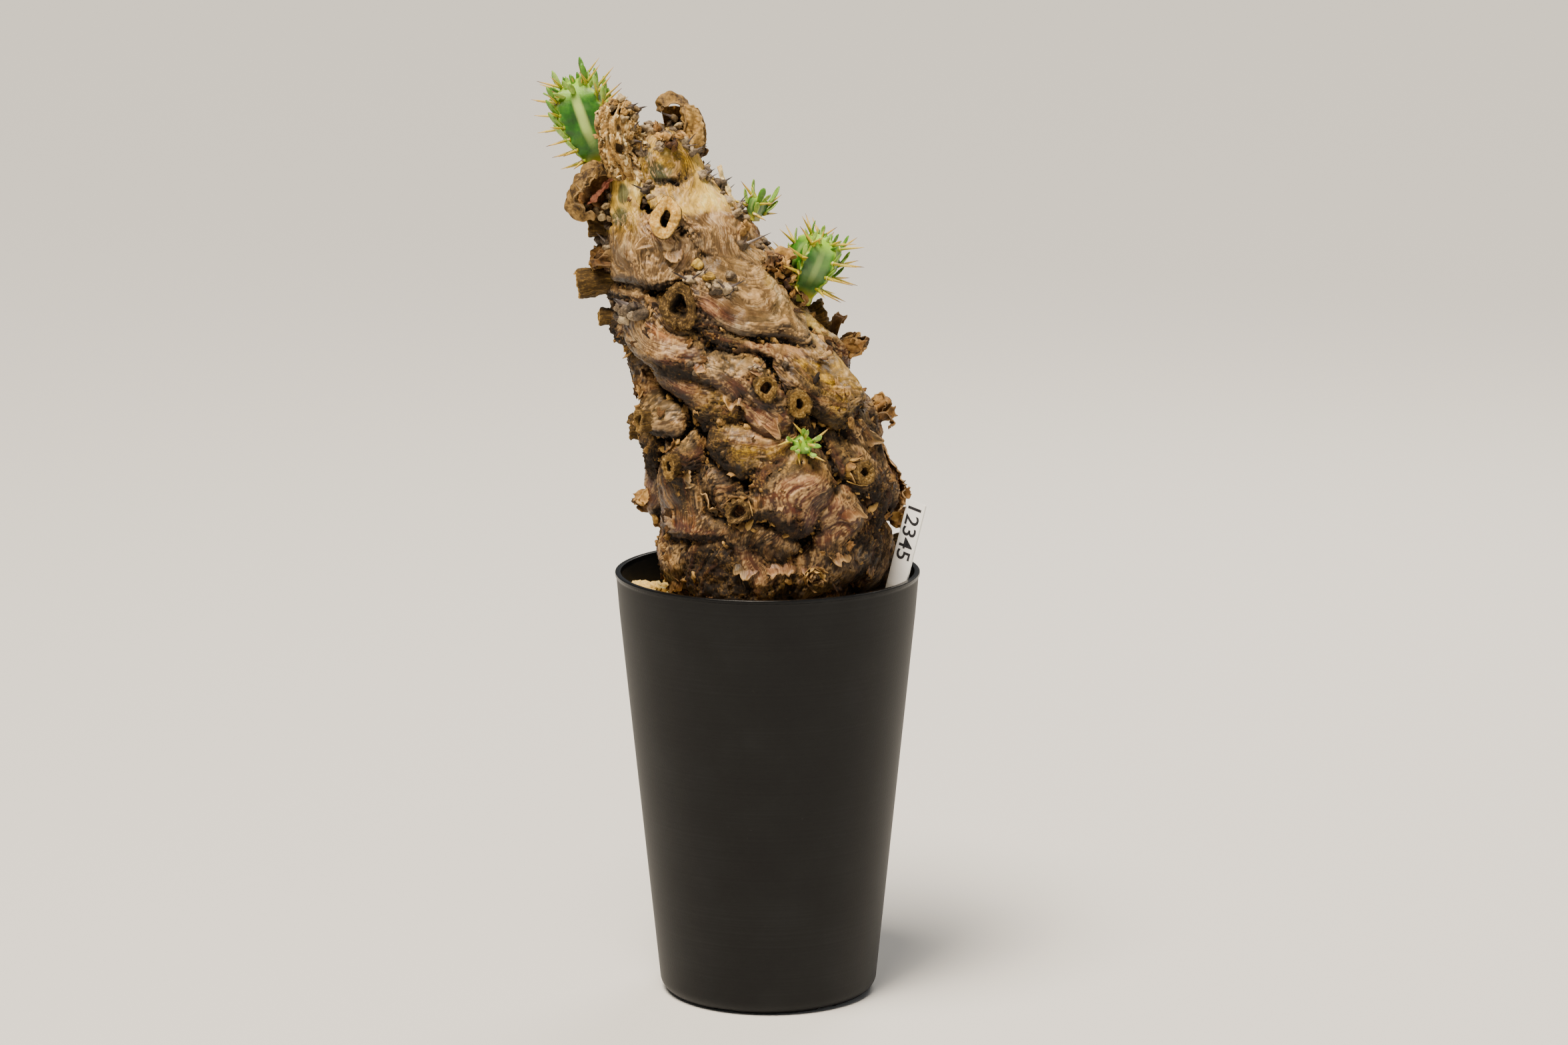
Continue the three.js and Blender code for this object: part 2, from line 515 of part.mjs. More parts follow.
function gravel() {
  const next = seeded(SOIL.seed);
  const stone = (x, y, z, size) => solid(new THREE.IcosahedronGeometry(size, 0)
    .scale(1, 0.85 + 0.2 * next(), 0.75 + 0.2 * next()).rotateX(next()).rotateZ(6 * next()).translate(x, y, z));
  const scattered = STONE_RINGS.flatMap(([radius, count, size]) => range(count, (i) => {
    const a = (2 * Math.PI * (i + 0.5 * next())) / count;
    return stone(radius * Math.cos(a), radius * Math.sin(a), SOIL.top + next(), size * (0.85 + 0.3 * next()));
  }));
  const standingOut = STANDING_STONES.map(([x, y, size]) => stone(x, y, SOIL.top + size * STANDING_SHARE, size));
  return joined([gravelSpace(SOIL.top), ...scattered, ...standingOut]).intersect(gravelSpace(POT.height));
}

function labelPlace() {
  const lean = degToRad(LABEL.lean);
  const turn = degToRad(LABEL.turn);
  const along = vector(Math.sin(lean), 0, Math.cos(lean));
  const wide = vector(Math.cos(lean) * Math.cos(turn), -Math.sin(turn), -Math.sin(lean) * Math.cos(turn));
  return new THREE.Matrix4().makeBasis(wide, along.clone().cross(wide), along).setPosition(vector(...LABEL.top));
}

function labelStrip(clearance) {
  const { width, thickness, length } = LABEL;
  const strip = new THREE.BoxGeometry(width + 2 * clearance, thickness + 2 * clearance, length + 2 * clearance);
  return solid(strip.translate(0, 0, -length / 2).applyMatrix4(labelPlace()));
}

// Assembly
const part = new THREE.Group();

function addPiece(name, manifold, look, place = new THREE.Matrix4()) {
  const geometry = geometryOf(manifold).applyMatrix4(place.clone().invert());
  const mesh = new THREE.Mesh(geometry, new THREE.MeshStandardMaterial(LOOKS[look]));
  mesh.name = name;
  mesh.applyMatrix4(place);
  part.add(mesh);
}

const stubs = [...STUBS, ...backStubs()].map(stub);
let caudex = joined([
  solid(barkSkin()), ...stubs.map(({ wall }) => wall), ...FRAYED_ENDS.flatMap(frayedEnd), ...SHIELDS.flatMap(shield),
]).subtract(joined(stubs.map(({ bore }) => bore)));
const taken = [grown(caudex)];

// Opens a shoot's socket in the caudex, and gives the shoot that fits it and keeps clear of what is there already.
function seated(body, rootSize, start, towards) {
  const { root, socket } = rootAndSocket(rootSize, start, towards);
  caudex = caudex.subtract(socket);
  const shoot = largest(body.subtract(joined(taken)).add(root));
  taken.push(grown(shoot));
  return shoot;
}

function addDried(name, body, { path, root }) {
  const [start, next] = path.map((p) => vector(...p));
  addPiece(name, seated(body, root, start, next.sub(start)), 'dried');
}

addPiece('pot', pot(), 'pot');
addDried('dried_stump', driedStump(DRIED_STUMP), DRIED_STUMP);
Object.entries(DRIED_SHELLS).forEach(([name, shell]) => addDried(name, driedShell(shell), shell));
Object.entries(LIVE_SHOOTS).forEach(([name, shoot]) => {
  const [foot, towards] = [shoot.foot, shoot.towards].map((p) => vector(...p));
  const place = standing(foot, towards);
  const body = solid(geometryOf(liveShoot(shoot)).applyMatrix4(place));
  addPiece(name, seated(body, shoot.root, foot, towards), 'green', place);
});
addPiece('gravel', largest(gravel().subtract(grown(solid(barkSkin()))).subtract(labelStrip(GAP))), 'gravel');
addPiece('caudex', largest(caudex), 'bark');
addPiece('label', labelStrip(0), 'label', labelPlace());

export default part;
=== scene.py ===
# %% [markdown]
# # A potted Euphorbia mlanjeana
# This lesson dresses a imported CAD model of an old potted succulent. A leaning, knobbly caudex stands in a
# tall black pot of pumice. It carries the hollow ends of lost branches, frayed bark, old spines, dried
# shoots round its top, four live green shoots and a plant label. The CAD model gives every size and
# place, so we load it first. The finished plant has to stay inside it.

# %% Load the frame
import json
import math
from collections import namedtuple

import bpy
import numpy as np
from mathutils import Matrix, Vector

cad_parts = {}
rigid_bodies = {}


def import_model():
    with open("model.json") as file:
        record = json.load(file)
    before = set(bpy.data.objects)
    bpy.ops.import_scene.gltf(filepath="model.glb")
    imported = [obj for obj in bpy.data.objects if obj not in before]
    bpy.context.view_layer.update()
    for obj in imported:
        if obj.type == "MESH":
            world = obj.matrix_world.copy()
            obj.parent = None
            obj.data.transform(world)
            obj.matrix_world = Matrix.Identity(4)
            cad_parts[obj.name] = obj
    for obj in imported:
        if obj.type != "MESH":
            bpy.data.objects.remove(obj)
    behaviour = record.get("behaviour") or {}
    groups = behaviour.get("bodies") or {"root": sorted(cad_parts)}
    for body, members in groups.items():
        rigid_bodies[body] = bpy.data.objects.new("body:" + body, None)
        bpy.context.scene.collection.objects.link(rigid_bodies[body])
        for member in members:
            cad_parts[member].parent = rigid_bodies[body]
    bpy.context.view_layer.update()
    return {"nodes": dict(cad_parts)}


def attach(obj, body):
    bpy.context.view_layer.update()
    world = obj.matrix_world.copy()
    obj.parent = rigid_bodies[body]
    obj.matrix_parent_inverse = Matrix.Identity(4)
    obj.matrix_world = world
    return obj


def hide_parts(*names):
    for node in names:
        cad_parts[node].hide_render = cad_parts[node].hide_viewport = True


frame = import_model()
MM = 0.001  # the tables below are in millimetres, and Blender's units are metres
print("CAD nodes:", ", ".join(sorted(frame["nodes"])))

# %% [markdown]
# ## The camera
# Its perspective says that the photograph was taken from about 1.65 m away with a long lens, a little
# above the plant. We set the camera there before anything else, so that every test render can be laid
# beside the photograph.

# %% Camera
# Its place, lens and sensor are in mm, its angles in degrees, and the distances that it sees between in
# metres.
CAMERA = {
    "at": (6.52, -1625.8, 500.5), "down": 10.851, "roll": -0.075, "lens": 96.75, "sensor": 36,
    "sees": (0.1, 20),
}


def make_camera():
    data = bpy.data.cameras.new("camera")
    data.lens = CAMERA["lens"]
    data.sensor_width = CAMERA["sensor"]
    data.clip_start, data.clip_end = CAMERA["sees"]
    camera = bpy.data.objects.new("camera", data)
    camera.location = Vector(CAMERA["at"]) * MM
    tilt = Matrix.Rotation(math.radians(90 - CAMERA["down"]), 4, "X")
    roll = Matrix.Rotation(math.radians(CAMERA["roll"]), 4, "Z")
    camera.rotation_euler = (tilt @ roll).to_euler()
    bpy.context.scene.collection.objects.link(camera)
    bpy.context.scene.camera = camera


make_camera()
print("camera at", [round(v, 3) for v in bpy.context.scene.camera.location])

# %% [markdown]
# ## Node trees as sums
# Materials and Geometry Nodes are both node trees. One method makes any node from its type, its settings
# and the values or links of its sockets. A small class wraps a socket so that sums can be written as
# sums.

# %% Sockets and trees
def find_socket(sockets, key):
    if isinstance(key, int):
        return sockets[key]
    return next((s for s in sockets if s.identifier == key), None) or sockets[key]


class Socket:
    """An output of a node, with the sums that the trees below use."""

    def __init__(self, tree, socket):
        self.tree, self.socket = tree, socket

    def sum(self, operation, a, b=0.0):
        return self.tree.add("ShaderNodeMath", {"operation": operation}, {0: a, 1: b})

    def __add__(self, other):
        return self.sum("ADD", self, other)

    def __sub__(self, other):
        return self.sum("SUBTRACT", self, other)

    def __rsub__(self, other):
        return self.sum("SUBTRACT", other, self)

    def __mul__(self, other):
        return self.sum("MULTIPLY", self, other)

    __radd__, __rmul__ = __add__, __mul__

    def distance(self, value):
        return self.sum("ABSOLUTE", self - value)

    def larger(self, other):
        return self.sum("MAXIMUM", self, other)

    def step(self, low, high, start=0.0, end=1.0):
        """A smooth step from start to end as this value goes from low to high."""
        settings = {"interpolation_type": "SMOOTHSTEP"}
        values = {"Value": self, "From Min": low, "From Max": high, "To Min": start, "To Max": end}
        return self.tree.add("ShaderNodeMapRange", settings, values)

    def scaled(self, x, y, z):
        return self.tree.add("ShaderNodeVectorMath", {"operation": "MULTIPLY"}, {0: self, 1: (x, y, z)})

    def moved(self, shift):
        return self.tree.add("ShaderNodeVectorMath", {"operation": "ADD"}, {0: self, 1: shift})

    def times(self, factor):
        """This vector, lengthened by one factor."""
        return self.tree.add("ShaderNodeVectorMath", {"operation": "SCALE"}, {0: self, "Scale": factor})

    def line(self, at, width):
        """A thin line where this value passes one level."""
        return self.distance(at).step(0.0, width, 1, 0)


class Tree:
    """A node tree that is being built."""

    def __init__(self, tree):
        self.tree = tree

    def add(self, kind, settings=None, values=None, output=0):
        """Makes a node: its settings first, then the values or links of its sockets."""
        node = self.tree.nodes.new(kind)
        for name, value in (settings or {}).items():
            if name == "stops":
                set_stops(node.color_ramp, value)
            else:
                setattr(node, name, value)
        for key, value in (values or {}).items():
            socket = find_socket(node.inputs, key)
            if isinstance(value, Socket):
                self.tree.links.new(value.socket, socket)
            else:
                socket.default_value = value
        return Socket(self, find_socket(node.outputs, output)) if node.outputs else node

    def noise(self, vector, size, detail=3.0, roughness=0.55, output="Fac"):
        """Noise whose lumps are about this size, in the vector's own units."""
        values = {"Vector": vector, "Scale": 1 / size, "Detail": detail, "Roughness": roughness}
        return self.add("ShaderNodeTexNoise", None, values, output)

    def streaks(self, fibre, width, length, detail=3.0, roughness=0.55):
        """Noise drawn out along the fibres, into streaks about this wide and this long."""
        return self.noise(fibre.scaled(1 / width, 1 / length, 1), 1, detail, roughness)

    def cells(self, vector, size):
        """The distance from the nearest of many scattered points, about this far apart."""
        return self.add("ShaderNodeTexVoronoi", None, {"Vector": vector, "Scale": 1 / size}, "Distance")


def set_stops(ramp, stops):
    while len(ramp.elements) > 1:
        ramp.elements.remove(ramp.elements[-1])
    for i, (position, colour) in enumerate(stops):
        element = ramp.elements[0] if i == 0 else ramp.elements.new(position)
        element.position = position
        element.color = colour


def colour(code):
    """A colour as it is seen on screen, 0xRRGGBB, in the linear values that a shader takes."""
    seen = [((code >> shift) & 255) / 255 for shift in (16, 8, 0)]
    return (*[v / 12.92 if v <= 0.04045 else ((v + 0.055) / 1.055) ** 2.4 for v in seen], 1.0)


class Finish(Tree):
    """A material that is being built, with the steps that its finish is made of."""

    def __init__(self, name, **constants):
        self.material = bpy.data.materials.new(name)
        self.material.use_nodes = True
        super().__init__(self.material.node_tree)
        self.shader = self.tree.nodes["Principled BSDF"]
        for key, value in constants.items():
            self.shader.inputs[key.replace("_", " ")].default_value = value

    def place(self):
        """Object coordinates in millimetres."""
        return self.add("ShaderNodeTexCoord", output="Object").scaled(1 / MM, 1 / MM, 1 / MM)

    def attribute(self, name, output="Fac"):
        return self.add("ShaderNodeAttribute", {"attribute_name": name}, None, output)

    def mix(self, under, over, share):
        """Lays a colour over another one. The upper one can be a code, such as 0xC8A462."""
        over = colour(over) if isinstance(over, int) else over
        values = {"Factor_Float": share, "A_Color": under, "B_Color": over}
        return self.add("ShaderNodeMix", {"data_type": "RGBA"}, values, "Result_Color")

    def set(self, **links):
        for key, link in links.items():
            self.tree.links.new(link.socket, self.shader.inputs[key.replace("_", " ")])

    def bump(self, height, depth):
        """Relief too fine for the mesh: height from 0 to 1, depth in millimetres."""
        values = {"Height": height, "Distance": depth * MM, "Strength": 1.0}
        self.set(Normal=self.add("ShaderNodeBump", None, values))


print("tools: Tree.add makes every node, Socket writes the sums")

# %% [markdown]
# ## The caudex: swellings on a leaning core
# An old caudex of this kind is a stack of swellings, each the foot of a lost branch. We take the same
# core and the same swellings that the CAD solid has: elliptical domes laid on a leaning core, melted
# together by a high power mean so that the creases between them stay sharp. NumPy works this out for a
# dense grid in a few seconds, which sculpting by hand could not repeat. Each point also keeps its place
# in the dome that it lies on, because the fibres of the bark will follow it.

# %% The core and its swellings
# Height, centre x and radius.
CORE = [
    (118, 2, 24), (126, 2, 31), (146, 1.5, 35.5), (163, 1.2, 36.5), (190, 3, 40), (205, 3, 41),
    (224, -1.5, 40), (250, -8.5, 38.3), (272, -20.5, 32.5), (296, -29, 25.5), (307, -33.5, 22.6),
    (318, -38.3, 18.4), (329, -41.2, 15.2), (338, -42, 12.3), (343, -41.5, 9.5), (345, -41.5, 5),
]
# Angle from the front in degrees, height, half width, half height, tilt (right end down) and rise.
FRONT_LOBES = [
    (6, 331, 11, 13, 0, 2.4), (-34, 328, 12, 11, 0, 3.2), (62, 330, 12, 10, 0, 3),
    (-94, 330, 12, 10, 0, 10), (-55, 318, 13, 9, -15, 6), (-45, 309, 12, 6, -15, 5),
    (33, 311, 16, 15, 15, 8), (84, 312, 13, 12, 0, 8), (-41, 298, 21, 15, 0, 9), (-92, 300, 12, 10, 0, 6),
    (2, 297, 9, 10, 0, 4.5), (78, 297, 15, 11, 15, 9), (-62, 282, 14, 7, 10, 6), (-95, 283, 11, 9, 0, 7),
    (90, 285, 12, 9, 0, 7), (34, 281, 23, 17, 25, 10), (3, 273, 9, 10, 20, 4), (76, 273, 12, 8, 0, 6),
    (-43, 265, 20, 14, 20, 9), (-85, 267, 12, 9, 0, 8), (5, 266, 12, 7, 25, 5), (92, 264, 13, 8, 0, 8),
    (32, 260, 14, 8, 25, 6), (-8, 253, 16, 9, 25, 6), (-39, 251, 12, 8, 20, 5.5),
    (50, 248, 20, 17, 15, 10), (-80, 249, 13, 9, 10, 6), (7, 242, 9, 9, 30, 5.5),
    (-21, 241, 16, 11, 10, 4), (-67, 237, 14, 11, 0, 8), (90, 233, 13, 9, 0, 8), (9, 232, 8, 7, 0, 4),
    (-7, 227, 16, 8.5, -15, 7), (-45, 222, 11, 9, 0, 6), (-85, 218, 12, 10, 0, 8),
    (45, 220, 10, 10, 0, 6), (64, 213, 17, 21, 0, 10), (92, 208, 14, 20, -8, 8), (-27, 213, 12, 7, 15, 5),
    (9, 208, 18, 17, 15, 11), (-14, 204, 9, 9, 0, 5), (-50, 200, 21, 14, 10, 9), (-96, 199, 13, 12, 0, 8),
    (38, 199, 13, 11, 20, 7), (-19, 190, 12, 7.5, 10, 6), (0, 190, 11, 7, 10, 6), (46, 184, 19, 15, 0, 9),
    (-37, 180, 12, 11, 0, 7), (-66, 178, 15, 14, 0, 8), (-12, 175, 18, 12, 0, 7), (23, 176, 13, 11, 0, 7),
    (80, 176, 15, 14, 0, 8),
]
BACK_LOBES = {
    "from": 97, "to": 268, "turn": 137.5, "start": 100, "low": 166, "high": 324, "step": 4.4, "width": 20,
    "tall": 14, "tilts": (12, 28), "rise": 4, "rise with size": 5, "full radius": 40,
}
SWELLING = {"from": 150, "full": 160, "sag": 0.36, "roundness": 0.6, "blend": 4.2, "upper reach": 1.35}
# The hollow ends of lost branches: angle, height, radius, hole radius, length, upward tilt, height over
# width, how far it is pointed at its top, and how fresh it looks.
STUBS = [
    (-3, 314, 6.1, 2.3, 6, 8, 1.16, 0.42, 1), (-88, 288, 5.6, 2.4, 11, -8, 1.15, 0, 0.65),
    (-14, 281, 6.4, 3.3, 6, -4, 1.5, 0.05, 0.1), (11, 252, 4.6, 2.2, 4, 0, 1.1, 0, 0.3),
    (24, 245, 5.3, 1.8, 4.6, -6, 1, 0.12, 0.4), (-58, 237, 4.2, 2.2, 4, 0, 1.05, 0, 0.3),
    (-46, 221, 4.2, 1.9, 4, -8, 1.2, 0, 0.3), (-16, 205, 4.8, 2.7, 4.4, 0, 1, 0, 0.1),
    (45, 219, 4.9, 1.8, 4.2, 0, 1.05, 0, 0.25), (97, 271, 6.3, 2.8, 5, 20, 1, 0.1, 0.2),
    (-89, 273, 3.3, 1.6, 5, 4, 1, 0, 0.7), (-88, 229, 4.2, 1.5, 6.5, 0, 1.1, 0, 0.1),
]
BACK_STUB = {
    "every": 3, "radius": 5.4, "hole": 2, "length": 6, "above": 0.9, "aside": 6, "tilts": (-5, 10),
    "stretch": 1.1, "point": 0.05, "fresh": (0.1, 0.35),
}


def smooth_column(rows, column, at):
    """A smooth curve through one column of a table whose first column rises."""
    x, y = (np.array([row[i] for row in rows], float) for i in (0, column))
    before, after = np.r_[0, np.arange(len(x) - 1)], np.r_[np.arange(1, len(x)), len(x) - 1]
    slope = (y[after] - y[before]) / (x[after] - x[before])
    at = np.clip(np.asarray(at, float), x[0], x[-1])
    i = np.clip(np.searchsorted(x, at) - 1, 0, len(x) - 2)
    span = x[i + 1] - x[i]
    t = (at - x[i]) / span
    return (y[i] + (y[i + 1] - y[i]) * t * t * (3 - 2 * t)
            + span * (slope[i] * t * (1 - t) ** 2 - slope[i + 1] * t * t * (1 - t)))


def core_x(height):
    return smooth_column(CORE, 1, height)


def core_radius(height):
    return smooth_column(CORE, 2, height)


def back_lobes():
    """Behind, the swellings go on in a spiral, a golden angle round from one to the next."""
    b = BACK_LOBES
    found = []
    for k in range(int((b["high"] - b["low"]) / b["step"])):
        height = b["low"] + k * b["step"]
        size = float(core_radius(height)) / b["full radius"]
        angle = (b["start"] + k * b["turn"]) % 360
        if b["from"] < angle < b["to"]:
            found.append((angle, height, b["width"] * size, b["tall"] * math.sqrt(size), b["tilts"][k % 2],
                          b["rise"] + b["rise with size"] * size))
    return found


def back_stubs():
    b = BACK_STUB
    found = []
    for i, (angle, height, _, half_height, _, rise) in enumerate(back_lobes()[::b["every"]]):
        size = rise / (BACK_LOBES["rise"] + BACK_LOBES["rise with size"])
        place = (angle + b["aside"], height + half_height * b["above"])
        shape = (b["length"], b["tilts"][i % 2], b["stretch"], b["point"], b["fresh"][i % 2])
        found.append((*place, b["radius"] * size, b["hole"] * size, *shape))
    return found


LOBES = FRONT_LOBES + back_lobes()
ALL_STUBS = STUBS + back_stubs()
print(len(LOBES), "swellings and", len(ALL_STUBS), "branch stubs")

# %% [markdown]
# ## What every point of the bark knows
# The grid's points need more than their place. Each one gets its fibre coordinates (across and along the
# grain of the swelling it lies on) and how near it is to a stub, where the bark heaps up in rings. These
# become attributes, which Geometry Nodes and the materials both read.

# %% Bark field
COLLAR = {"reach": 2.1, "rise": 2.4, "rings": 1.7, "ring depth": 0.28}
LEVEL_GRAIN = (222, 290)  # between these heights the fibres run along the swellings, and elsewhere down them
# How far the fibres sway, in mm, and over which lengths and widths.
SWAY = {"broad": 1.3, "broad length": 7, "fine": 0.5, "fine length": 2.6, "fine width": 5}
APART = 9.0  # how far the fibre coordinates of one swelling lie from the next one's
WARP = {"size": 26, "shift": 2.2, "waves": 12, "seed": 7}


def turned(across, along, degrees):
    c, s = math.cos(math.radians(degrees)), math.sin(math.radians(degrees))
    return across * c - along * s, across * s + along * c


def round_the_core(angle, at_angle, radius):
    """How far round the core, in millimetres, points lie from an angle."""
    return np.radians((angle - at_angle + 540) % 360 - 180) * radius


def waves(points, size, count, seed):
    """Smooth noise of about unit strength: a sum of plane waves in seeded directions."""
    draw = np.random.default_rng(seed)
    total = np.zeros(points.shape[:-1])
    for _ in range(count):
        direction = draw.normal(size=3)
        direction *= draw.uniform(0.6, 1.5) / np.linalg.norm(direction)
        total += np.sin(points @ direction * (2 * math.pi / size) + draw.uniform(0, 2 * math.pi))
    return total / math.sqrt(count / 2)


def warped(angle, height):
    """Angles and heights pushed about a little, so that no swelling is a plain oval."""
    a, radius = np.radians(angle), core_radius(height)
    points = np.stack([radius * np.sin(a), -radius * np.cos(a), height], -1)
    aside, up = (waves(points, WARP["size"], WARP["waves"], WARP["seed"] + k) * WARP["shift"] for k in (0, 1))
    return angle + np.degrees(aside / radius), height + up


def bark_field(angle, height):
    """The stand-off of the bark, its fibre coordinates and its collars at arrays of angles and heights."""
    radius = core_radius(height)
    total, first = np.zeros_like(angle), np.zeros_like(angle)
    true_angle, true_height = angle, height
    angle, height = warped(angle, height)
    fine, coarse, number = np.radians(angle) * radius, height.copy(), np.zeros_like(angle)
    for n, (at_angle, at_height, half_width, half_height, tilt, rise) in enumerate(LOBES):
        across, along = round_the_core(angle, at_angle, radius), height - at_height
        u, v = turned(across, along, tilt)
        reach = np.where(v > 0, half_height * SWELLING["upper reach"], half_height)
        inside = np.clip(1 - (u / half_width) ** 2 - (v / reach) ** 2, 0, None)
        dome = rise * inside ** SWELLING["roundness"]
        total += dome ** SWELLING["blend"]
        higher = dome > first
        first = np.maximum(first, dome)
        grain = (v, u) if LEVEL_GRAIN[0] <= at_height <= LEVEL_GRAIN[1] else (u, v)
        fine, coarse = np.where(higher, grain[0], fine), np.where(higher, grain[1], coarse)
        number = np.where(higher, n + 1, number)
    stand = total ** (1 / SWELLING["blend"])
    collar = np.zeros_like(angle)
    angle, height = true_angle, true_height
    for at_angle, at_height, size, *_ in ALL_STUBS:
        across, along = round_the_core(angle, at_angle, radius), height - at_height
        away = np.hypot(across, along) / (size * COLLAR["reach"])
        near = np.clip(1 - away ** 2, 0, 1)
        rings = np.sin(2 * math.pi * away * size * COLLAR["reach"] / COLLAR["rings"])
        stand += near * (COLLAR["rise"] + COLLAR["ring depth"] * rings)
        collar = np.maximum(collar, near)
    t = np.clip((height - SWELLING["from"]) / (SWELLING["full"] - SWELLING["from"]), 0, 1)
    stand *= t * t * (3 - 2 * t)
    broad = SWAY["broad"] * np.sin(coarse / SWAY["broad length"] + number)
    fine = fine + broad + SWAY["fine"] * np.sin(coarse / SWAY["fine length"] + fine / SWAY["fine width"])
    return {"stand": stand, "fibre": np.stack([fine, coarse, APART * number], -1), "collar": collar}


def on_bark(angle, height, stand):
    """Places in millimetres of points that stand off the core."""
    a = np.radians(angle)
    radius = core_radius(height) + stand
    x = core_x(height) + radius * np.sin(a)
    return np.stack([x, -radius * np.cos(a), height - SWELLING["sag"] * stand], -1)


def bark_place(angle, height):
    """One point on the bark, and its direction away from the core."""
    field = bark_field(np.array([float(angle)]), np.array([float(height)]))
    a = math.radians(angle)
    return Vector(on_bark(angle, height, field["stand"])[0]), Vector((math.sin(a), -math.cos(a), 0))


print("bark at the front, half way up:", [round(v, 1) for v in bark_place(0, 250)[0]])

# %% [markdown]
# ## Patches of colour
# The bark isn't one colour. The neck is cream, the swellings are grey, pinkish or rust brown, and where
# old skin came away the tissue is ochre or almost black. Each patch is placed by its angle and height.
# Behind, where no photograph reaches, the swellings take the same colours in turn.

# %% Patches of colour
# Angle, height, half width and half height of each patch.
TONES = {
    "cream": [
        (10, 334, 9, 9), (45, 330, 10, 8), (-59, 315, 15, 8), (-56, 326, 12, 6), (38, 321, 15, 5),
        (58, 288, 10, 4), (75, 270, 14, 6), (64, 254, 7, 5), (-20, 320, 9, 5), (120, 325, 14, 9),
    ],
    "ochre": [
        (-23, 237, 14, 12), (3, 224, 13, 8), (-8, 172, 15, 8), (38, 238, 14, 6), (-80, 214, 12, 5),
        (79, 295, 12, 7), (56, 249, 13, 11), (-70, 260, 9, 8), (18, 331, 9, 7), (-48, 310, 8, 6),
    ],
    "pink": [
        (11, 279, 9, 7), (80, 312, 20, 8), (-8, 250, 9, 5), (-38, 247, 9, 6), (6, 240, 7, 7),
        (22, 262, 17, 5), (8, 213, 11, 6), (-17, 184, 8, 4), (90, 210, 14, 20), (27, 199, 8, 12),
    ],
    "grey": [(46, 277, 18, 9), (-6, 255, 9, 4), (-68, 240, 16, 5)],
    "pale": [
        (38, 303, 22, 12), (62, 290, 20, 11), (28, 290, 14, 9), (-38, 299, 20, 12), (-8, 300, 12, 7),
        (18, 313, 10, 6), (-58, 288, 12, 7), (30, 276, 16, 5), (-42, 268, 14, 5),
    ],
    "rust": [(-30, 267, 10, 7), (-49, 196, 15, 10), (15, 202, 10, 8), (-18, 312, 4, 4)],
    "green": [(-51, 315, 4.5, 4), (-42, 321, 3, 2.5), (13, 331, 3.5, 3.5), (2, 335, 2, 2)],
    "soot": [
        (53, 196, 13, 13), (-30, 177, 13, 9), (-2, 268, 8, 10), (-34, 228, 12, 9), (-46, 214, 12, 7),
        (34, 226, 10, 7), (-84, 184, 10, 12), (4, 296, 6, 5), (-70, 222, 9, 12), (76, 226, 12, 6),
        (-6, 218, 14, 4), (68, 288, 8, 8),
    ],
}
BACK_TONES = ("pink", "soot", "grey", "ochre", "rust")
BACK_TONE_SHARE = 0.8  # of the size of the swelling that it colours
SMOOTH_TONES = ("cream", "pink", "grey", "pale")
TONE_CORE = 1.35  # more than 1, so that a patch shows in full up to some way from its middle


def all_tones():
    found = {name: list(patches) for name, patches in TONES.items()}
    for i, (angle, height, half_width, half_height, *_) in enumerate(back_lobes()):
        patch = (angle, height, half_width * BACK_TONE_SHARE, half_height * BACK_TONE_SHARE)
        found[BACK_TONES[i % len(BACK_TONES)]].append(patch)
    return found


def tone_field(angle, height):
    """How strongly each colour shows at arrays of angles and heights."""
    radius = core_radius(height)
    angle, height = warped(angle, height)
    field = {}
    for name, patches in all_tones().items():
        field[name] = np.zeros_like(angle)
        for at_angle, at_height, half_width, half_height in patches:
            across = round_the_core(angle, at_angle, radius)
            away = (across / half_width) ** 2 + ((height - at_height) / half_height) ** 2
            field[name] = np.maximum(field[name], np.clip(TONE_CORE - away, 0, 1))
    field["smooth"] = np.maximum.reduce([field[name] for name in SMOOTH_TONES])
    return field


print("patches:", {name: len(patches) for name, patches in all_tones().items()})

# %% [markdown]
# ## Meshes from arrays, and rules that grow on them
# Two more helpers are needed. One makes a mesh from arrays of points, faces and attributes. The other
# builds a Geometry Nodes tree with named inputs, runs it once, and keeps the result as a plain mesh,
# because the exported plant has no modifiers.

# %% Mesh and rule helpers
def turns(count):
    """Angles in radians of equal steps round a circle."""
    return np.arange(count) * 2 * math.pi / count


def unit(vectors):
    """A vector, or each row of several, at length 1."""
    vectors = np.asarray(vectors, float)
    return vectors / np.linalg.norm(vectors, axis=-1, keepdims=True)


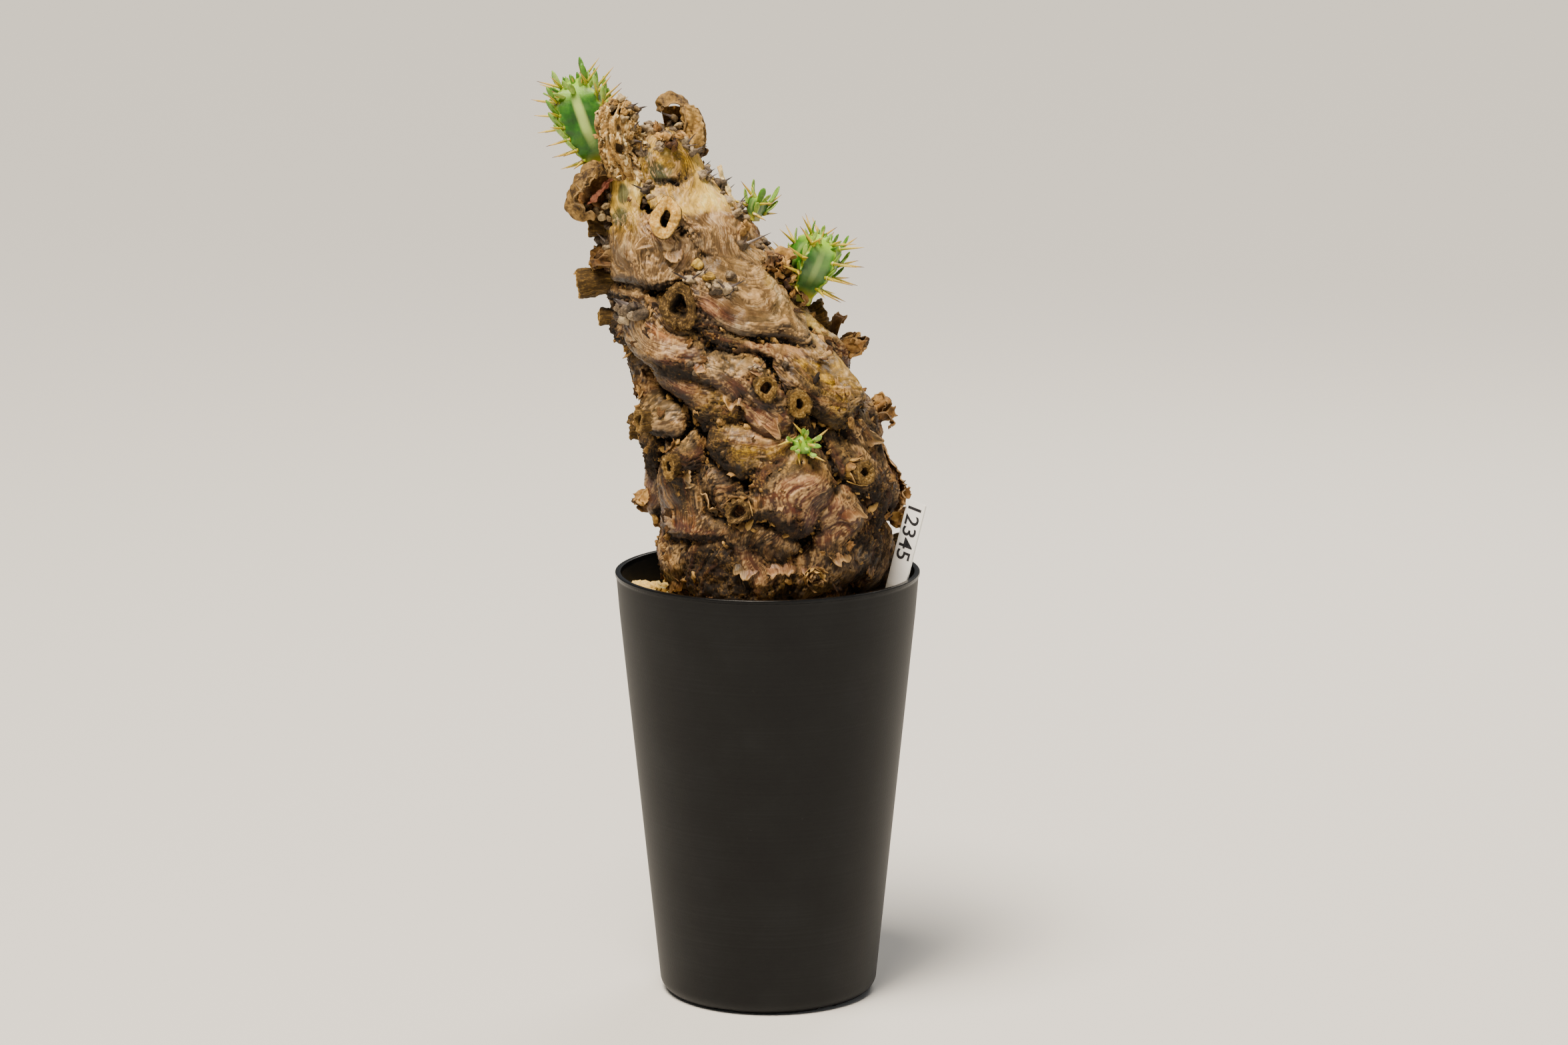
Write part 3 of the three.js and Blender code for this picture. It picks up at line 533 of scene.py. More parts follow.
def mesh_object(name, points, faces, material=None, attributes=None, smooth=True):
    """A mesh object at the origin. Points are in millimetres, and faces are rows of three or four numbers."""
    mesh = bpy.data.meshes.new(name)
    faces = [np.atleast_2d(np.asarray(part, np.int32)) for part in faces if len(part)]
    corners = [np.full(len(part), part.shape[1], np.int32) for part in faces]
    totals = np.concatenate(corners) if faces else np.zeros(0)
    points = np.asarray(points, np.float32).reshape(-1, 3) * MM
    mesh.vertices.add(len(points))
    mesh.vertices.foreach_set("co", points.ravel())
    if faces:
        mesh.loops.add(int(totals.sum()))
        mesh.loops.foreach_set("vertex_index", np.concatenate([part.ravel() for part in faces]))
        mesh.polygons.add(len(totals))
        mesh.polygons.foreach_set("loop_start", np.r_[0, np.cumsum(totals)[:-1]].astype(np.int32))
        mesh.polygons.foreach_set("use_smooth", np.full(len(totals), smooth))
    mesh.update(calc_edges=True)
    mesh.validate()
    for key, values in (attributes or {}).items():
        values = np.asarray(values, np.float32)
        kind = "FLOAT_VECTOR" if values.ndim == 2 else "FLOAT"
        layer = mesh.attributes.new(key, kind, "POINT")
        layer.data.foreach_set("vector" if values.ndim == 2 else "value", values.ravel())
    if material:
        mesh.materials.append(material)
    made = bpy.data.objects.new(name, mesh)
    bpy.context.scene.collection.objects.link(made)
    return made


def read_points(mesh):
    points = np.zeros(len(mesh.vertices) * 3, np.float32)
    mesh.vertices.foreach_get("co", points)
    return points.reshape(-1, 3).astype(float) / MM


def read_attribute(mesh, name):
    layer = mesh.attributes[name].data
    is_vector = mesh.attributes[name].data_type == "FLOAT_VECTOR"
    values = np.zeros(len(layer) * (3 if is_vector else 1), np.float32)
    layer.foreach_get("vector" if is_vector else "value", values)
    return values.reshape(-1, 3) if is_vector else values


class Rule(Tree):
    """A Geometry Nodes tree that is being built."""

    SOCKETS = {float: "NodeSocketFloat", int: "NodeSocketInt", bpy.types.Object: "NodeSocketObject",
               bpy.types.Collection: "NodeSocketCollection", bpy.types.Material: "NodeSocketMaterial"}

    def __init__(self, name, **inputs):
        super().__init__(bpy.data.node_groups.new(name, "GeometryNodeTree"))
        face = self.tree.interface
        face.new_socket("Geometry", in_out="INPUT", socket_type="NodeSocketGeometry")
        face.new_socket("Geometry", in_out="OUTPUT", socket_type="NodeSocketGeometry")
        self.values = inputs
        for key, value in inputs.items():
            face.new_socket(key, in_out="INPUT", socket_type=self.SOCKETS[type(value)])
        self.start = self.tree.nodes.new("NodeGroupInput")

    def input(self, name="Geometry"):
        return Socket(self, self.start.outputs[name])

    def attribute(self, name, kind="FLOAT"):
        return self.add("GeometryNodeInputNamedAttribute", {"data_type": kind}, {"Name": name}, "Attribute")

    def place(self):
        return self.add("GeometryNodeInputPosition").scaled(1 / MM, 1 / MM, 1 / MM)

    def store(self, geometry, name, value, domain="POINT"):
        return self.add("GeometryNodeStoreNamedAttribute", {"data_type": "FLOAT", "domain": domain},
                        {"Geometry": geometry, "Name": name, "Value": value})

    def random(self, low, high, seed):
        values = {"Min_001": low, "Max_001": high, "Seed": seed}
        return self.add("FunctionNodeRandomValue", {"data_type": "FLOAT"}, values, "Value_001")

    def move_out(self, geometry, distance):
        """Moves a skin along its normals by a distance in millimetres."""
        offset = self.add("GeometryNodeInputNormal").times(distance * MM)
        return self.add("GeometryNodeSetPosition", None, {"Geometry": geometry, "Offset": offset})

    def end(self, geometry, material):
        real = self.add("GeometryNodeRealizeInstances", None, {"Geometry": geometry})
        dressed = self.add("GeometryNodeSetMaterial", None, {"Geometry": real, "Material": material})
        finish = self.tree.nodes.new("NodeGroupOutput")
        self.tree.links.new(dressed.socket, finish.inputs["Geometry"])

    def run(self, base, name, **changed):
        """Runs the tree on an object, and puts the result in its place as a plain mesh."""
        modifier = base.modifiers.new(name, "NODES")
        modifier.node_group = self.tree
        values = {**self.values, **changed}
        for item in self.tree.interface.items_tree:
            if item.in_out == "INPUT" and item.name in values:
                modifier[item.identifier] = values[item.name]
        depsgraph = bpy.context.evaluated_depsgraph_get()
        mesh = bpy.data.meshes.new_from_object(base.evaluated_get(depsgraph), preserve_all_data_layers=True,
                                               depsgraph=depsgraph)
        bpy.data.objects.remove(base)
        made = bpy.data.objects.new(name, mesh)
        bpy.context.scene.collection.objects.link(made)
        return made


def keep(piece, slot, *nodes):
    """Rides a finished piece on the plant's one body, and says what it is and which solids it stands for."""
    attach(piece, "root")
    if nodes:
        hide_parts(*nodes)
    piece.data.calc_loop_triangles()
    count = len(piece.data.loop_triangles)
    print(f"{piece.name}: {count} triangles, slot {slot}, replaces {nodes or 'nothing'}")


def grid_faces(rows, columns, start=0):
    """Four-cornered faces of a grid that closes on itself sideways."""
    row, column = np.meshgrid(np.arange(rows - 1), np.arange(columns), indexing="ij")
    a, b = row * columns + column, row * columns + (column + 1) % columns
    return np.stack([a, b, b + columns, a + columns], -1).reshape(-1, 4) + start


def fan_faces(ring_start, columns, middle, upwards):
    """Three-cornered faces from a ring to its middle."""
    a = ring_start + np.arange(columns)
    b = ring_start + (np.arange(columns) + 1) % columns
    middle = np.full(columns, middle)
    return np.stack([a, b, middle] if upwards else [b, a, middle], -1)


def closed_tube(rings):
    """A body over rings, each anticlockwise as seen from the next, with a fan at each end."""
    rows, columns = rings.shape[:2]
    points = np.concatenate([rings.reshape(-1, 3), rings[:1].mean(1), rings[-1:].mean(1)])
    last = (rows - 1) * columns
    faces = [grid_faces(rows, columns), fan_faces(0, columns, len(points) - 2, False),
             fan_faces(last, columns, len(points) - 1, True)]
    return points, faces


def turned_rings(section, columns):
    """Rings of a body of revolution about Z, from the radius and the height of each."""
    around = turns(columns)
    rings = [np.stack([r * np.cos(around), r * np.sin(around), 0 * around + h], -1) for r, h in section]
    return np.stack(rings)


def with_ends(values):
    """A value for each point of a closed tube: the two end points take those of the rings beside them."""
    return np.r_[values.ravel(), values[0].mean(), values[-1].mean()]


def thin_sheet(points, thickness):
    """Points and faces of a sheet over a grid of points, and its grid's numbers for each of its points."""
    rows, columns = points.shape[:2]
    normal = unit(np.cross(np.gradient(points, axis=1), np.gradient(points, axis=0)))
    half = np.broadcast_to(np.asarray(thickness, float) / 2, (rows, columns))[..., None] * normal
    ring = np.concatenate([points + half, (points - half)[:, ::-1]], 1)
    number = np.arange(rows * columns).reshape(rows, columns)
    front = np.arange(columns - 1)
    end = np.stack([front, front + 1, 2 * columns - 2 - front, 2 * columns - 1 - front], -1)
    last = (rows - 1) * 2 * columns
    faces = [grid_faces(rows, 2 * columns), end[:, ::-1], end + last]
    return ring.reshape(-1, 3), faces, np.concatenate([number, number[:, ::-1]], 1).ravel()


def turned_axes(first, second, angle):
    """Two axes turned in their own plane by an angle in radians."""
    c, s = math.cos(angle), math.sin(angle)
    return first * c + second * s, second * c - first * s


NEARLY_UPRIGHT = 0.95


def axes_along(direction):
    """A side that is level where it can be, an up square to it, and the direction itself."""
    out = unit(direction)
    side = unit(np.cross((0, 1, 0) if abs(out[2]) > NEARLY_UPRIGHT else (0, 0, 1), out))
    return side, np.cross(out, side), out


class Heap:
    """Points, faces and attributes of many small forms that become one mesh."""

    def __init__(self, *attributes):
        self.points, self.faces, self.count = [], [], 0
        self.values = {name: [] for name in attributes}

    def add(self, points, faces, **values):
        points = np.asarray(points, float).reshape(-1, 3)
        self.points.append(points)
        self.faces += [np.asarray(part) + self.count for part in faces]
        self.count += len(points)
        for name, rows in self.values.items():
            value = np.asarray(values.get(name, 0.0), float)
            rows.append(value if value.ndim == 2 else np.broadcast_to(value.ravel(), len(points)))

    def mesh(self, name, material):
        attributes = {key: np.concatenate(rows) for key, rows in self.values.items()}
        return mesh_object(name, np.concatenate(self.points), self.faces, material, attributes)


print("helpers: mesh_object, Rule, keep, closed_tube, thin_sheet, Heap")

# %% [markdown]
# ## Bark
# The bark is thin and papery over the swellings, with fine fibres, and it cracks and crumbles into the
# creases. Scanned displacement maps would do this elsewhere, but here the relief has to follow each
# swelling, so a Geometry Nodes tree moves the skin along its normals by noises that are stretched along
# the fibres. The same tree keeps where it cracked, peeled and crumbled, and the material then colours
# just those places.

# %% Bark relief
SKIN = {"columns": 480, "rows": 370, "foot rows": 6, "seam row": 176, "fade": 4}
# How many rows each way a hollow is compared over, and the depths in mm that count as deep.
CREASE = {"reaches": (3, 9), "narrow": 1.3, "wide": 3.4}
# Rings that close the top: the share of its radius, and the height above it in mm.
CROWN = [(0.72, -0.4), (0.4, -1.6), (0.12, -2.2)]
KEPT = ("fibre", "crease", "collar", "smooth", *TONES)  # what the skin's points know
FOUND = ("crack", "rough", "edge", "facing")  # what the relief adds
BEND = 5  # how far the fibres wander, in mm


def wandering(tree, fibre, place):
    """Fibre coordinates that wander a little, so that no streak runs dead straight."""
    return fibre.moved(tree.noise(place, 12, 3, output="Color").scaled(BEND, BEND, 0))


def bark_relief(material):
    """The relief of bark. Each input says how far one kind of it stands off, in millimetres."""
    rule = Rule("bark_relief", Lumps=2.6, Knobs=1.8, Folds=1.2, Fibres=0.4, Peel=0.4, Cracks=0.9, Crumbs=2.9,
                Creases=2.6, Material=material)
    place = rule.place()
    fibre = wandering(rule, rule.attribute("fibre", "FLOAT_VECTOR"), place)
    known = ("crease", "collar", "soot", "ochre", "smooth")
    crease, collar, soot, ochre, smooth = (rule.attribute(name) for name in known)
    facing = rule.add("ShaderNodeSeparateXYZ", None, {"Vector": rule.add("GeometryNodeInputNormal")}, "Z")
    below = facing.step(0.15, -0.55)
    lumps, knobs = rule.noise(place, 13, 2) - 0.5, rule.noise(place, 5.5, 2) - 0.5
    pleated = rule.noise(place, 15, 2).step(0.42, 0.6)
    folds = (rule.streaks(fibre, 3.2, 15, 2) - 0.5) * pleated
    strands = rule.streaks(fibre, 1.1, 7, 4, 0.7) - 0.5
    sheet = rule.streaks(fibre, 9, 16, 4, 0.65)
    peel = sheet.step(0.5, 0.53) + sheet.step(0.6, 0.63)
    edge = sheet.line(0.515, 0.025).larger(sheet.line(0.615, 0.025))
    split = rule.streaks(fibre, 5, 20, 4, 0.65).line(0.5, 0.03)
    patches = rule.noise(place, 17, 3) + crease * 0.5 + collar * 0.12 + soot * 0.18 + ochre * 0.1
    # Undersides count as a little rougher, so their darker crumb colour is partly painted shade.
    rough = (patches - smooth * 0.2 + below * 0.14).step(0.5, 0.68)
    threads = rule.noise(fibre.scaled(1 / 5, 1 / 26, 1).moved((7, 3, 0)), 1, 3, 0.6).line(0.5, 0.016)
    edge = edge.larger(threads * rule.noise(place, 12, 2).step(0.42, 0.5)) * (1 - rough)
    cracks = split * (rough * 0.65 + 0.35)
    crumbs = rule.noise(place, 4.6, 3, 0.6) + rule.noise(place, 1.9, 3, 0.6) * 0.6 - 0.8
    height = lumps * rule.input("Lumps") + knobs * rule.input("Knobs") + folds * rule.input("Folds")
    height = height + strands * (1 - smooth * 0.5) * rule.input("Fibres")
    height = height + (peel + edge * 0.7) * rule.input("Peel") - cracks * rule.input("Cracks")
    height = height + crumbs * rough * rule.input("Crumbs") - crease * crease * rule.input("Creases")
    stored = rule.input()
    for name, value in zip(FOUND, (cracks, rough, edge, facing)):
        stored = rule.store(stored, name, value)
    rule.end(rule.move_out(stored, height * rule.attribute("above")), rule.input("Material"))
    return rule


def bark_grid():
    """Angles and heights of the skin's rows: a coarse foot in the gravel, then even rows to the top."""
    foot = np.linspace(CORE[0][0], SWELLING["from"], SKIN["foot rows"], endpoint=False)
    heights = np.r_[foot, np.linspace(SWELLING["from"], CORE[-1][0], SKIN["rows"])]
    angles = np.arange(SKIN["columns"]) * 360 / SKIN["columns"]
    return np.meshgrid(heights, angles, indexing="ij")


def spread(values, reach):
    """A grid's values evened out over a few rows and columns each way. The grid closes on itself sideways."""
    for axis in (0, 1):
        steps = range(-reach, reach + 1)
        padded = np.pad(values, ((reach, reach), (0, 0)), "edge") if axis == 0 else values
        size = len(values)
        rolled = [padded[reach + k:reach + k + size] if axis == 0 else np.roll(values, k, 1) for k in steps]
        values = sum(rolled) / len(rolled)
    return values


def hollows(stand):
    """How deep each point lies below what is round it, from 0 on a swelling to 1 deep in a crease."""
    narrow, wide = (spread(stand, reach) - stand for reach in CREASE["reaches"])
    return np.clip(narrow / CREASE["narrow"] + wide / CREASE["wide"], 0, 1)


def caudex_skin(material):
    height, angle = bark_grid()
    field = {**bark_field(angle, height), **tone_field(angle, height)}
    field["crease"] = hollows(field["stand"])
    points = on_bark(angle, height, field["stand"])
    top = points[-1]
    middle = top.mean(0)
    rings = [middle + (top - middle) * share + (0, 0, drop) for share, drop in CROWN]
    rows = len(points) + len(rings)
    points = np.concatenate([points, np.stack(rings)])
    attributes = {"above": np.clip((points[..., 2] - SWELLING["from"]) / SKIN["fade"], 0, 1).ravel()}
    for key in KEPT:
        values = np.concatenate([field[key], np.repeat(field[key][-1:], len(rings), 0)])
        attributes[key] = values.reshape(rows * SKIN["columns"], -1).squeeze()
    whole = mesh_object("bark_whole", points, [grid_faces(rows, SKIN["columns"])], material, attributes)
    return bark_relief(material).run(whole, "bark_whole"), rows


def mark_sharp(mesh, ring_start, columns):
    """Marks a ring's edges sharp, so that the cap inside doesn't bend the skin's shading."""
    edges = np.zeros(len(mesh.edges) * 2, np.int32)
    mesh.edges.foreach_get("vertices", edges)
    inside = (edges >= ring_start) & (edges < ring_start + columns)
    layer = mesh.attributes.get("sharp_edge") or mesh.attributes.new("sharp_edge", "BOOLEAN", "EDGE")
    sharp = np.zeros(len(mesh.edges), bool)
    layer.data.foreach_get("value", sharp)
    layer.data.foreach_set("value", sharp | inside.reshape(-1, 2).all(1))


def skin_band(name, whole, first, last, material):
    """A closed band of the skin, from one row to another, with a cap at each end."""
    columns = SKIN["columns"]
    rows = last - first + 1
    part = slice(first * columns, (last + 1) * columns)
    points, faces = closed_tube(read_points(whole.data)[part].reshape(rows, columns, 3))
    attributes = {}
    for key in (*KEPT, *FOUND):
        values = read_attribute(whole.data, key)[part]
        attributes[key] = np.concatenate([values, values[:1], values[-1:]])
    band = mesh_object(name, points, faces, material, attributes)
    mark_sharp(band.data, 0, columns)
    mark_sharp(band.data, (rows - 1) * columns, columns)
    return band


print("the relief reads", ", ".join(KEPT), "and stores", ", ".join(FOUND))

# %% [markdown]
# ## The bark's finish
# Old bark is dark where it cracked and crumbled, and pale along its torn edges. A painted picture would
# do once, but this finish reads what the relief stored and the patches of colour, so it fits every
# swelling. It also paints shade into the creases and under the swellings, and paints light, with some
# dust, onto their tops.

# %% Bark finish
# Dark, middle and light colours of the skin and of each patch.
SKIN_COLOURS = (0x080401, 0x3C260C, 0xCC9C5C)
TONE_COLOURS = {
    "cream": (0x7A5A14, 0xDCB650, 0xFFF4A4), "ochre": (0x100A02, 0x6E5000, 0xDEAE1C),
    "pink": (0x200E06, 0x683A24, 0xD09C78), "grey": (0x18120A, 0x56462C, 0xC8B288),
    "rust": (0x160702, 0x5E220C, 0xC07040), "green": (0x24281A, 0x3E4428, 0x70744A),
    "soot": (0x040201, 0x181006, 0x6C5024), "pale": (0x2A1C0E, 0x84663E, 0xF8E6BE),
}
SPECKLED_TONES = ("ochre", "soot")
# How far each patch covers the skin. Any other one covers it by OTHER_SHARE.
TONE_SHARE = {
    "pink": 0.6, "rust": 0.55, "cream": 0.92, "green": 0.92, "ochre": 0.95, "soot": 0.9, "pale": 0.62,
}
OTHER_SHARE = 0.75
CRUMB_COLOURS = (0x060301, 0x30200A, 0x94703A)
FIBRE_LINE, RED_BROWN, DUST_AND_TOP_LIGHT, CRACK, CREASE_SHADE = 0xCCA46C, 0x6A3016, 0xC8A462, 0x0E0703, 0x060301


def shaded(finish, share, colours, low=0.37, high=0.65):
    """A colour from a dark, a middle and a light one."""
    stops = [(low, colour(colours[0])), ((low + high) / 2, colour(colours[1])), (high, colour(colours[2]))]
    return finish.add("ShaderNodeValToRGB", {"stops": stops}, {"Fac": share}, "Color")


def bark_finish():
    bark = Finish("bark", Specular_IOR_Level=0.32)
    place = bark.place()
    fibre = wandering(bark, bark.attribute("fibre", "Vector"), place)
    strands, bands = bark.streaks(fibre, 0.5, 9, 3, 0.65), bark.streaks(fibre, 3.2, 20, 3)
    mottle, grain = bark.noise(place, 5, 4, 0.65), bark.noise(place, 0.9, 3, 0.6)
    mixed = strands * 0.26 + bands * 0.2 + mottle * 0.2 + grain * 0.06 + bark.noise(place, 13, 3) * 0.28
    speckled = mottle * 0.5 + grain * 0.25 + strands * 0.25
    skin = shaded(bark, mixed, SKIN_COLOURS)
    for name, colours in TONE_COLOURS.items():
        mask = (bark.attribute(name) + (mottle - 0.5) * 1.4).step(0.1, 0.95)
        tone = shaded(bark, speckled if name in SPECKLED_TONES else mixed, colours)
        skin = bark.mix(skin, tone, mask * TONE_SHARE.get(name, OTHER_SHARE))
    crease, rough, facing, smooth = (bark.attribute(name) for name in ("crease", "rough", "facing", "smooth"))
    lines = 1 - smooth * 0.4
    # Crumb colour where the bark crumbled. On undersides, which count as rough, it is partly painted shade.
    crumbs = shaded(bark, mottle * 0.5 + grain * 0.5, CRUMB_COLOURS)
    skin = bark.mix(skin, crumbs, rough * 0.75)
    skin = bark.mix(skin, RED_BROWN, bands.step(0.48, 0.66) * (1 - bark.attribute("cream")) * lines * 0.25)
    skin = bark.mix(skin, CRACK, strands.step(0.44, 0.32) * lines * 0.45)
    pale_lines = strands.step(0.58, 0.7) * bark.noise(place, 8, 2).step(0.42, 0.6) * lines
    skin = bark.mix(skin, FIBRE_LINE, pale_lines * 0.4)
    skin = bark.mix(skin, FIBRE_LINE, bark.attribute("edge") * strands.step(0.3, 0.5) * 0.75)
    # Dust and painted light make the up-facing tops paler.
    skin = bark.mix(skin, DUST_AND_TOP_LIGHT, facing.step(0.2, 0.9) * bark.noise(place, 9, 3).step(0.35, 0.6) * 0.3)
    skin = bark.mix(skin, CRACK, bark.attribute("crack") * 0.8)
    # Painted shade darkens the undersides of the swellings and the creases.
    skin = bark.mix(skin, CREASE_SHADE, facing.step(0.25, -0.55) * 0.78)
    skin = bark.mix(skin, CREASE_SHADE, (crease + (mottle - 0.5) * 0.9).step(0.2, 0.8) * 0.92)
    bark.set(Base_Color=skin, Roughness=rough * 0.42 + 0.4)
    bark.bump(strands * 0.6 + grain * 0.4, 0.4)
    return bark.material


print("patches with a finish of their own:", ", ".join(TONE_COLOURS))

# %% [markdown]
# ## The skin
# The skin is one surface, but a piece may only have so many triangles. We run the relief once on the
# whole and cut the result into two closed bands, so that their seam shows no step.

# %% Bark skin
bark = bark_finish()
whole, rows = caudex_skin(bark)
for name, first, last in (("bark_lower", 0, SKIN["seam row"]), ("bark_upper", SKIN["seam row"], rows - 1)):
    keep(skin_band(name, whole, first, last, bark), "bark", "caudex")

# %% [markdown]
# ## Loose flakes and crumbs
# Dead bark doesn't only crack: thin flakes stand up from it, and crumbs lie in the creases. There are far
# too many to place by hand. One Geometry Nodes tree scatters small forms over the skin, more of them
# where an attribute is high, turns them off the surface's normal and gives each a shade of its own.

# %% Scattering rule
SPOTS = {"most in a square metre": 4e6, "form numbers": 8.0}


def scatter_rule(name, material, where):
    """Small forms spread over a skin: where is the attribute that says how many."""
    rule = Rule(name, Forms=bpy.data.collections[name], Material=material, Spacing=2.0, Amount=0.6,
                Smallest=0.6, Largest=1.4, Tilt=0.8, Sink=0.0, Seed=1)
    seed = rule.input("Seed")
    values = {"Mesh": rule.input(), "Distance Min": rule.input("Spacing") * MM,
              "Density Max": SPOTS["most in a square metre"],
              "Density Factor": where(rule) * rule.input("Amount"), "Seed": seed}
    spots = rule.tree.nodes.new("GeometryNodeDistributePointsOnFaces")
    spots.distribute_method = "POISSON"
    for key, value in values.items():
        socket = find_socket([s for s in spots.inputs if s.enabled], key)
        if isinstance(value, Socket):
            rule.tree.links.new(value.socket, socket)
        else:
            socket.default_value = value
    points, normal, turn = (Socket(rule, spots.outputs[key]) for key in ("Points", "Normal", "Rotation"))
    lean = [rule.random(-1.0, 1.0, seed + k) * rule.input("Tilt") for k in (1, 2)]
    twist = rule.random(0.0, 2 * math.pi, seed + 3)
    local = rule.add("ShaderNodeCombineXYZ", None, {"X": lean[0], "Y": lean[1], "Z": twist})
    turned_in = rule.add("FunctionNodeRotateRotation", {"rotation_space": "LOCAL"},
                         {"Rotation": turn, "Rotate By": local})
    down = normal.times(rule.input("Sink") * -MM)
    points = rule.add("GeometryNodeSetPosition", None, {"Geometry": points, "Offset": down})
    size = rule.random(rule.input("Smallest"), rule.input("Largest"), seed + 4)
    forms = rule.add("GeometryNodeCollectionInfo", None,
                     {"Collection": rule.input("Forms"), "Separate Children": True, "Reset Children": True})
    placed = rule.add("GeometryNodeInstanceOnPoints", None,
                      {"Points": points, "Instance": forms, "Pick Instance": True, "Rotation": turned_in,
                       "Instance Index": rule.random(0.0, SPOTS["form numbers"], seed + 5), "Scale": size})
    placed = rule.store(placed, "shade", rule.random(0.0, 1.0, seed + 6), "INSTANCE")
    rule.end(placed, rule.input("Material"))
    return rule


def ball(rows, columns):
    """Directions on a sphere, in rings from bottom to top."""
    down, around = np.meshgrid(np.linspace(0, math.pi, rows + 2)[1:-1], turns(columns), indexing="ij")
    return np.stack([np.sin(down) * np.cos(around), np.sin(down) * np.sin(around), -np.cos(down)], -1)


def lump(seed, stretch=(1, 1, 0.8), roughness=0.22, rows=4, columns=7):
    """An uneven stone or crumb about 2 mm across."""
    points = ball(rows, columns)
    points = points * (1 + roughness * waves(points, 1.6, 6, seed))[..., None] * stretch
    return closed_tube(points)


def flake(seed, rows=4, columns=5):
    """A thin curved flake about 3 mm long, hinged at the origin, with a ragged free edge."""
    draw = np.random.default_rng(seed)
    along, across = np.meshgrid(np.linspace(0, 1, rows), np.linspace(-1, 1, columns), indexing="ij")
    length = 2.2 + 1.2 * draw.random(columns)
    width = 1.1 + 0.3 * draw.random(rows)[:, None]
    curl = draw.uniform(0.25, 0.75)
    points = np.stack([across * width * (1 - 0.25 * along), along * length * (1 - 0.2 * curl * along),
                       curl * 1.4 * along ** 2 + 0.35 * across ** 2 - 0.3], -1)
    shape, faces, _ = thin_sheet(points, 0.24)
    return shape, faces


def forms_for(name, shapes):
    """A collection of forms that a scattering rule picks from. It isn't part of the plant's own pieces."""
    group = bpy.data.collections.new(name)
    for i, (points, faces) in enumerate(shapes):
        form = mesh_object(f"{name}_form_{i}", points, faces)
        bpy.context.scene.collection.objects.unlink(form)
        group.objects.link(form)
    return group


def drop_forms(group):
    for form in list(group.objects):
        bpy.data.objects.remove(form)
    bpy.data.collections.remove(group)


print("points of the first flake:", len(flake(0)[0]), "and of the first crumb:", len(lump(0)[0]))

# %% [markdown]
# ## What lies on the bark
# Flakes stand up where the bark peels, and crumbs and chunks lie where it crumbles. The same rule places
# all three, each with its own forms, sizes and seed.

# %% Flakes and crumbs
def litter_finish(name, colours, roughness=0.85):
    litter = Finish(name, Roughness=roughness, Specular_IOR_Level=0.3)
    grain = litter.noise(litter.place(), 1.1, 3, 0.6)
    mixed = litter.attribute("shade") * 0.5 + grain * 0.5
    litter.set(Base_Color=shaded(litter, mixed, colours, 0.25, 0.75))
    litter.bump(grain, 0.25)
    return litter.material


def scatter(name, shapes, material, where, slot, base, node=None, **sizes):
    group = forms_for(name, shapes)
    rule = scatter_rule(name, material, where)
    copy = base.copy()
    copy.data = base.data.copy()
    bpy.context.scene.collection.objects.link(copy)
    made = rule.run(copy, name, **sizes)
    drop_forms(group)
    keep(made, slot, *([node] if node else []))
    return made


def where_it_crumbles(rule):
    loose = rule.attribute("rough") * 0.5 + rule.attribute("crease") * 0.8
    return loose.step(0.35, 1.1) * rule.attribute("above")


def all_over(rule):
    return rule.attribute("above")


def where_it_peels(rule):
    shed = rule.attribute("edge") * (1 - rule.attribute("smooth") * 0.6) + rule.attribute("rough") * 0.25
    return shed.step(0.1, 1.0) * rule.attribute("above")


flake_look = litter_finish("bark_flake", (0x1E1208, 0x64441E, 0xB08A52))
crumb_look = litter_finish("bark_crumb", (0x0A0602, 0x342410, 0x8E6C36))
chunk_look = litter_finish("bark_chunk", (0x120A04, 0x543818, 0xB8904E))
scatter("bark_flakes", [flake(seed) for seed in range(5)], flake_look, where_it_peels, "bark", whole,
        Spacing=2.4, Amount=0.5, Smallest=0.5, Largest=1.5, Tilt=0.45, Sink=0.15, Seed=21)
scatter("bark_crumbs", [lump(seed) for seed in range(5)], crumb_look, where_it_crumbles, "bark", whole,
        Spacing=1.7, Amount=0.75, Smallest=0.35, Largest=1.05, Tilt=0.9, Sink=0.15, Seed=31)
chunks = [lump(seed, (1, 0.7, 0.5), 0.42, 5, 8) for seed in range(10, 16)]
scatter("bark_chunks", chunks, chunk_look, where_it_crumbles, "bark", whole,
        Spacing=3.4, Amount=0.8, Smallest=0.9, Largest=2.3, Tilt=1.4, Sink=0.0, Seed=41)
bpy.data.objects.remove(whole)

# %% [markdown]
# ## Branch stubs
# A lost branch leaves a short hollow cylinder of cork, with a cut or broken face and a dark pith hole. It
# is a body of revolution that has gone uneven, so we trace its section once, turn it round, and push
# every ring about with smooth noise: long ridges along its sides, and small chips in its rim.

# %% Branch stubs
STUB = {
    "sink": 5, "bore depth": 2.5, "waist": 0.86, "columns": 60, "ridge": 0.16, "chip": 0.3,
    "crumble": 0.3, "steps": 4,
}


def stub_section(radius, hole, length):
    """Rings from root to rim to hole: distance out, radius, share on the cut and share down the hole."""
    neck = radius * STUB["waist"]
    corners = np.array([
        (-STUB["sink"], neck, 0, 0), (length * 0.3, neck, 0, 0), (length * 0.92, radius, 0, 0),
        (length, radius * 0.9, 0.7, 0), (length + 0.1, (radius + hole) / 2, 1, 0),
        (length - 0.4, hole * 1.1, 1, 0), (length - 1.6, hole * 0.95, 0.3, 0.5),
        (-STUB["bore depth"], hole * 0.6, 0, 1),
    ])
    at = np.linspace(0, len(corners) - 1, (len(corners) - 1) * STUB["steps"] + 1)
    return np.stack([np.interp(at, np.arange(len(corners)), corners[:, k]) for k in range(4)], -1)


def outward(angle, tilt):
    a, t = math.radians(angle), math.radians(tilt)
    return np.array([math.sin(a) * math.cos(t), -math.cos(a) * math.cos(t), math.sin(t)])


